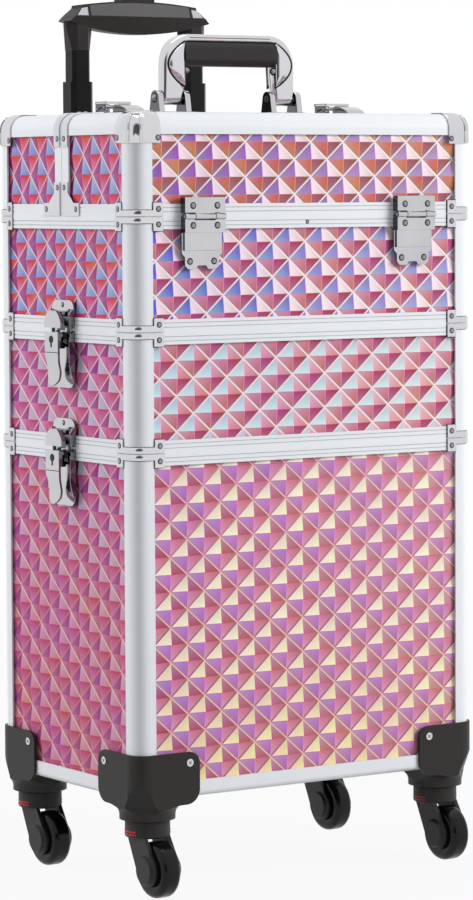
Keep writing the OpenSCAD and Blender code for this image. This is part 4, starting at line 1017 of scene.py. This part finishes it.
def seen_rays(tree):
    """1 for what the camera sees, directly, mirrored or through glass."""
    rays = tree.nodes.new("ShaderNodeLightPath").outputs
    seen = math_node(tree, "MAXIMUM", rays["Is Camera Ray"], rays["Is Glossy Ray"])
    return math_node(tree, "MAXIMUM", seen, rays["Is Transmission Ray"])


def add_floor():
    """Grey for the light that falls on it, but seen as paper that grows white away from the case."""
    material, tree, surface = new_material("pale_floor")
    place = coordinate(tree, "Object")
    grey = mix_colour(tree, noise(tree, place, 3.0), shade(0.66, 0.66, 0.66), shade(0.69, 0.69, 0.69))
    feed(tree, surface, {"Base Color": grey, "Roughness": 0.9, "Specular IOR Level": 0.1})
    paper = add_node(tree, "ShaderNodeEmission", {"Color": (1, 1, 1, 1)})
    away = vector_math(tree, "LENGTH", {0: place})["Value"]
    pale = times_plus(tree, times_plus(tree, away, 0.5, -0.4, clamp=True), 0.07, 0.93)
    share = math_node(tree, "MULTIPLY", seen_rays(tree), pale)
    whiten = add_node(tree, "ShaderNodeMixShader", {0: share, 1: surface.outputs[0], 2: paper.outputs[0]})
    feed(tree, tree.nodes["Material Output"], {"Surface": whiten.outputs[0]})
    mesh = bpy.data.meshes.new("studio_floor")
    half = 3
    mesh.from_pydata([(-half, -half, 0), (half, -half, 0), (half, half, 0), (-half, half, 0)], [], [(0, 1, 2, 3)])
    mesh.materials.append(material)
    floor = put("studio_floor", mesh)


def add_world():
    """A soft light, seen as white, with a dark patch behind the camera for the chrome to mirror."""
    world = bpy.data.worlds.new("studio")
    bpy.context.scene.world = world
    world.use_nodes = True
    tree = world.node_tree
    tree.nodes.clear()
    studio = add_node(tree, "ShaderNodeBackground", {"Color": (0.96, 0.98, 1.0, 1), "Strength": 0.38})
    to_camera = (-0.64, -0.77, 0)
    facing = vector_math(tree, "DOT_PRODUCT", {0: coordinate(tree, "Generated"), 1: to_camera})["Value"]
    patch = add_node(tree, "ShaderNodeMapRange", {"Value": facing, "From Min": 0.84, "From Max": 0.97})
    patch.interpolation_type = "SMOOTHSTEP"
    mirrored = tree.nodes.new("ShaderNodeLightPath").outputs["Is Glossy Ray"]
    dim = math_node(tree, "MULTIPLY", patch.outputs["Result"], mirrored)
    white = mix_colour(tree, dim, (1, 1, 1, 1), (0.1, 0.1, 0.1, 1))
    paper = add_node(tree, "ShaderNodeBackground", {"Color": white})
    pick = add_node(tree, "ShaderNodeMixShader", {0: seen_rays(tree), 1: studio.outputs[0], 2: paper.outputs[0]})
    add_node(tree, "ShaderNodeOutputWorld", {"Surface": pick.outputs[0]})


def add_camera():
    """Camera at the photograph's viewing angle: turned 33.4 degrees, tilted down 4 degrees."""
    turn, tilt, roll = math.radians(33.364), 0.0736, -0.0055
    ahead = Vector((math.sin(turn), math.cos(turn), 0))
    across = Vector((math.cos(turn), -math.sin(turn), 0))
    ahead, rise = (ahead * math.cos(tilt) - z_axis * math.sin(tilt), ahead * math.sin(tilt) + z_axis * math.cos(tilt))
    across, rise = (across * math.cos(roll) + rise * math.sin(roll), rise * math.cos(roll) - across * math.sin(roll))
    camera = bpy.data.cameras.new("photo_camera")
    camera.lens = 142.22
    camera.sensor_width = 36
    camera.clip_end = 50
    eye = put("photo_camera", camera)
    spot = Vector((-1.7226, middle_y - 2.6167, seam_top + 0.02352))
    eye.matrix_world = Matrix.Translation(spot) @ Matrix((across, rise, -ahead)).transposed().to_4x4()
    bpy.context.scene.camera = eye


add_floor()
add_world()
case_middle = (0, 0, 0.35)
add_lamp("left_softbox", (-2.1, 1.9, 1.4), case_middle, 1.3, 55, False)
add_lamp("front_softbox", (2.0, -2.0, 1.4), case_middle, 1.3, 66, False)
add_lamp("top_softbox", (0, 0, 3.0), (0, 0, 0), 2.0, 12, True)
add_camera()
bpy.context.scene.view_settings.view_transform = "Standard"
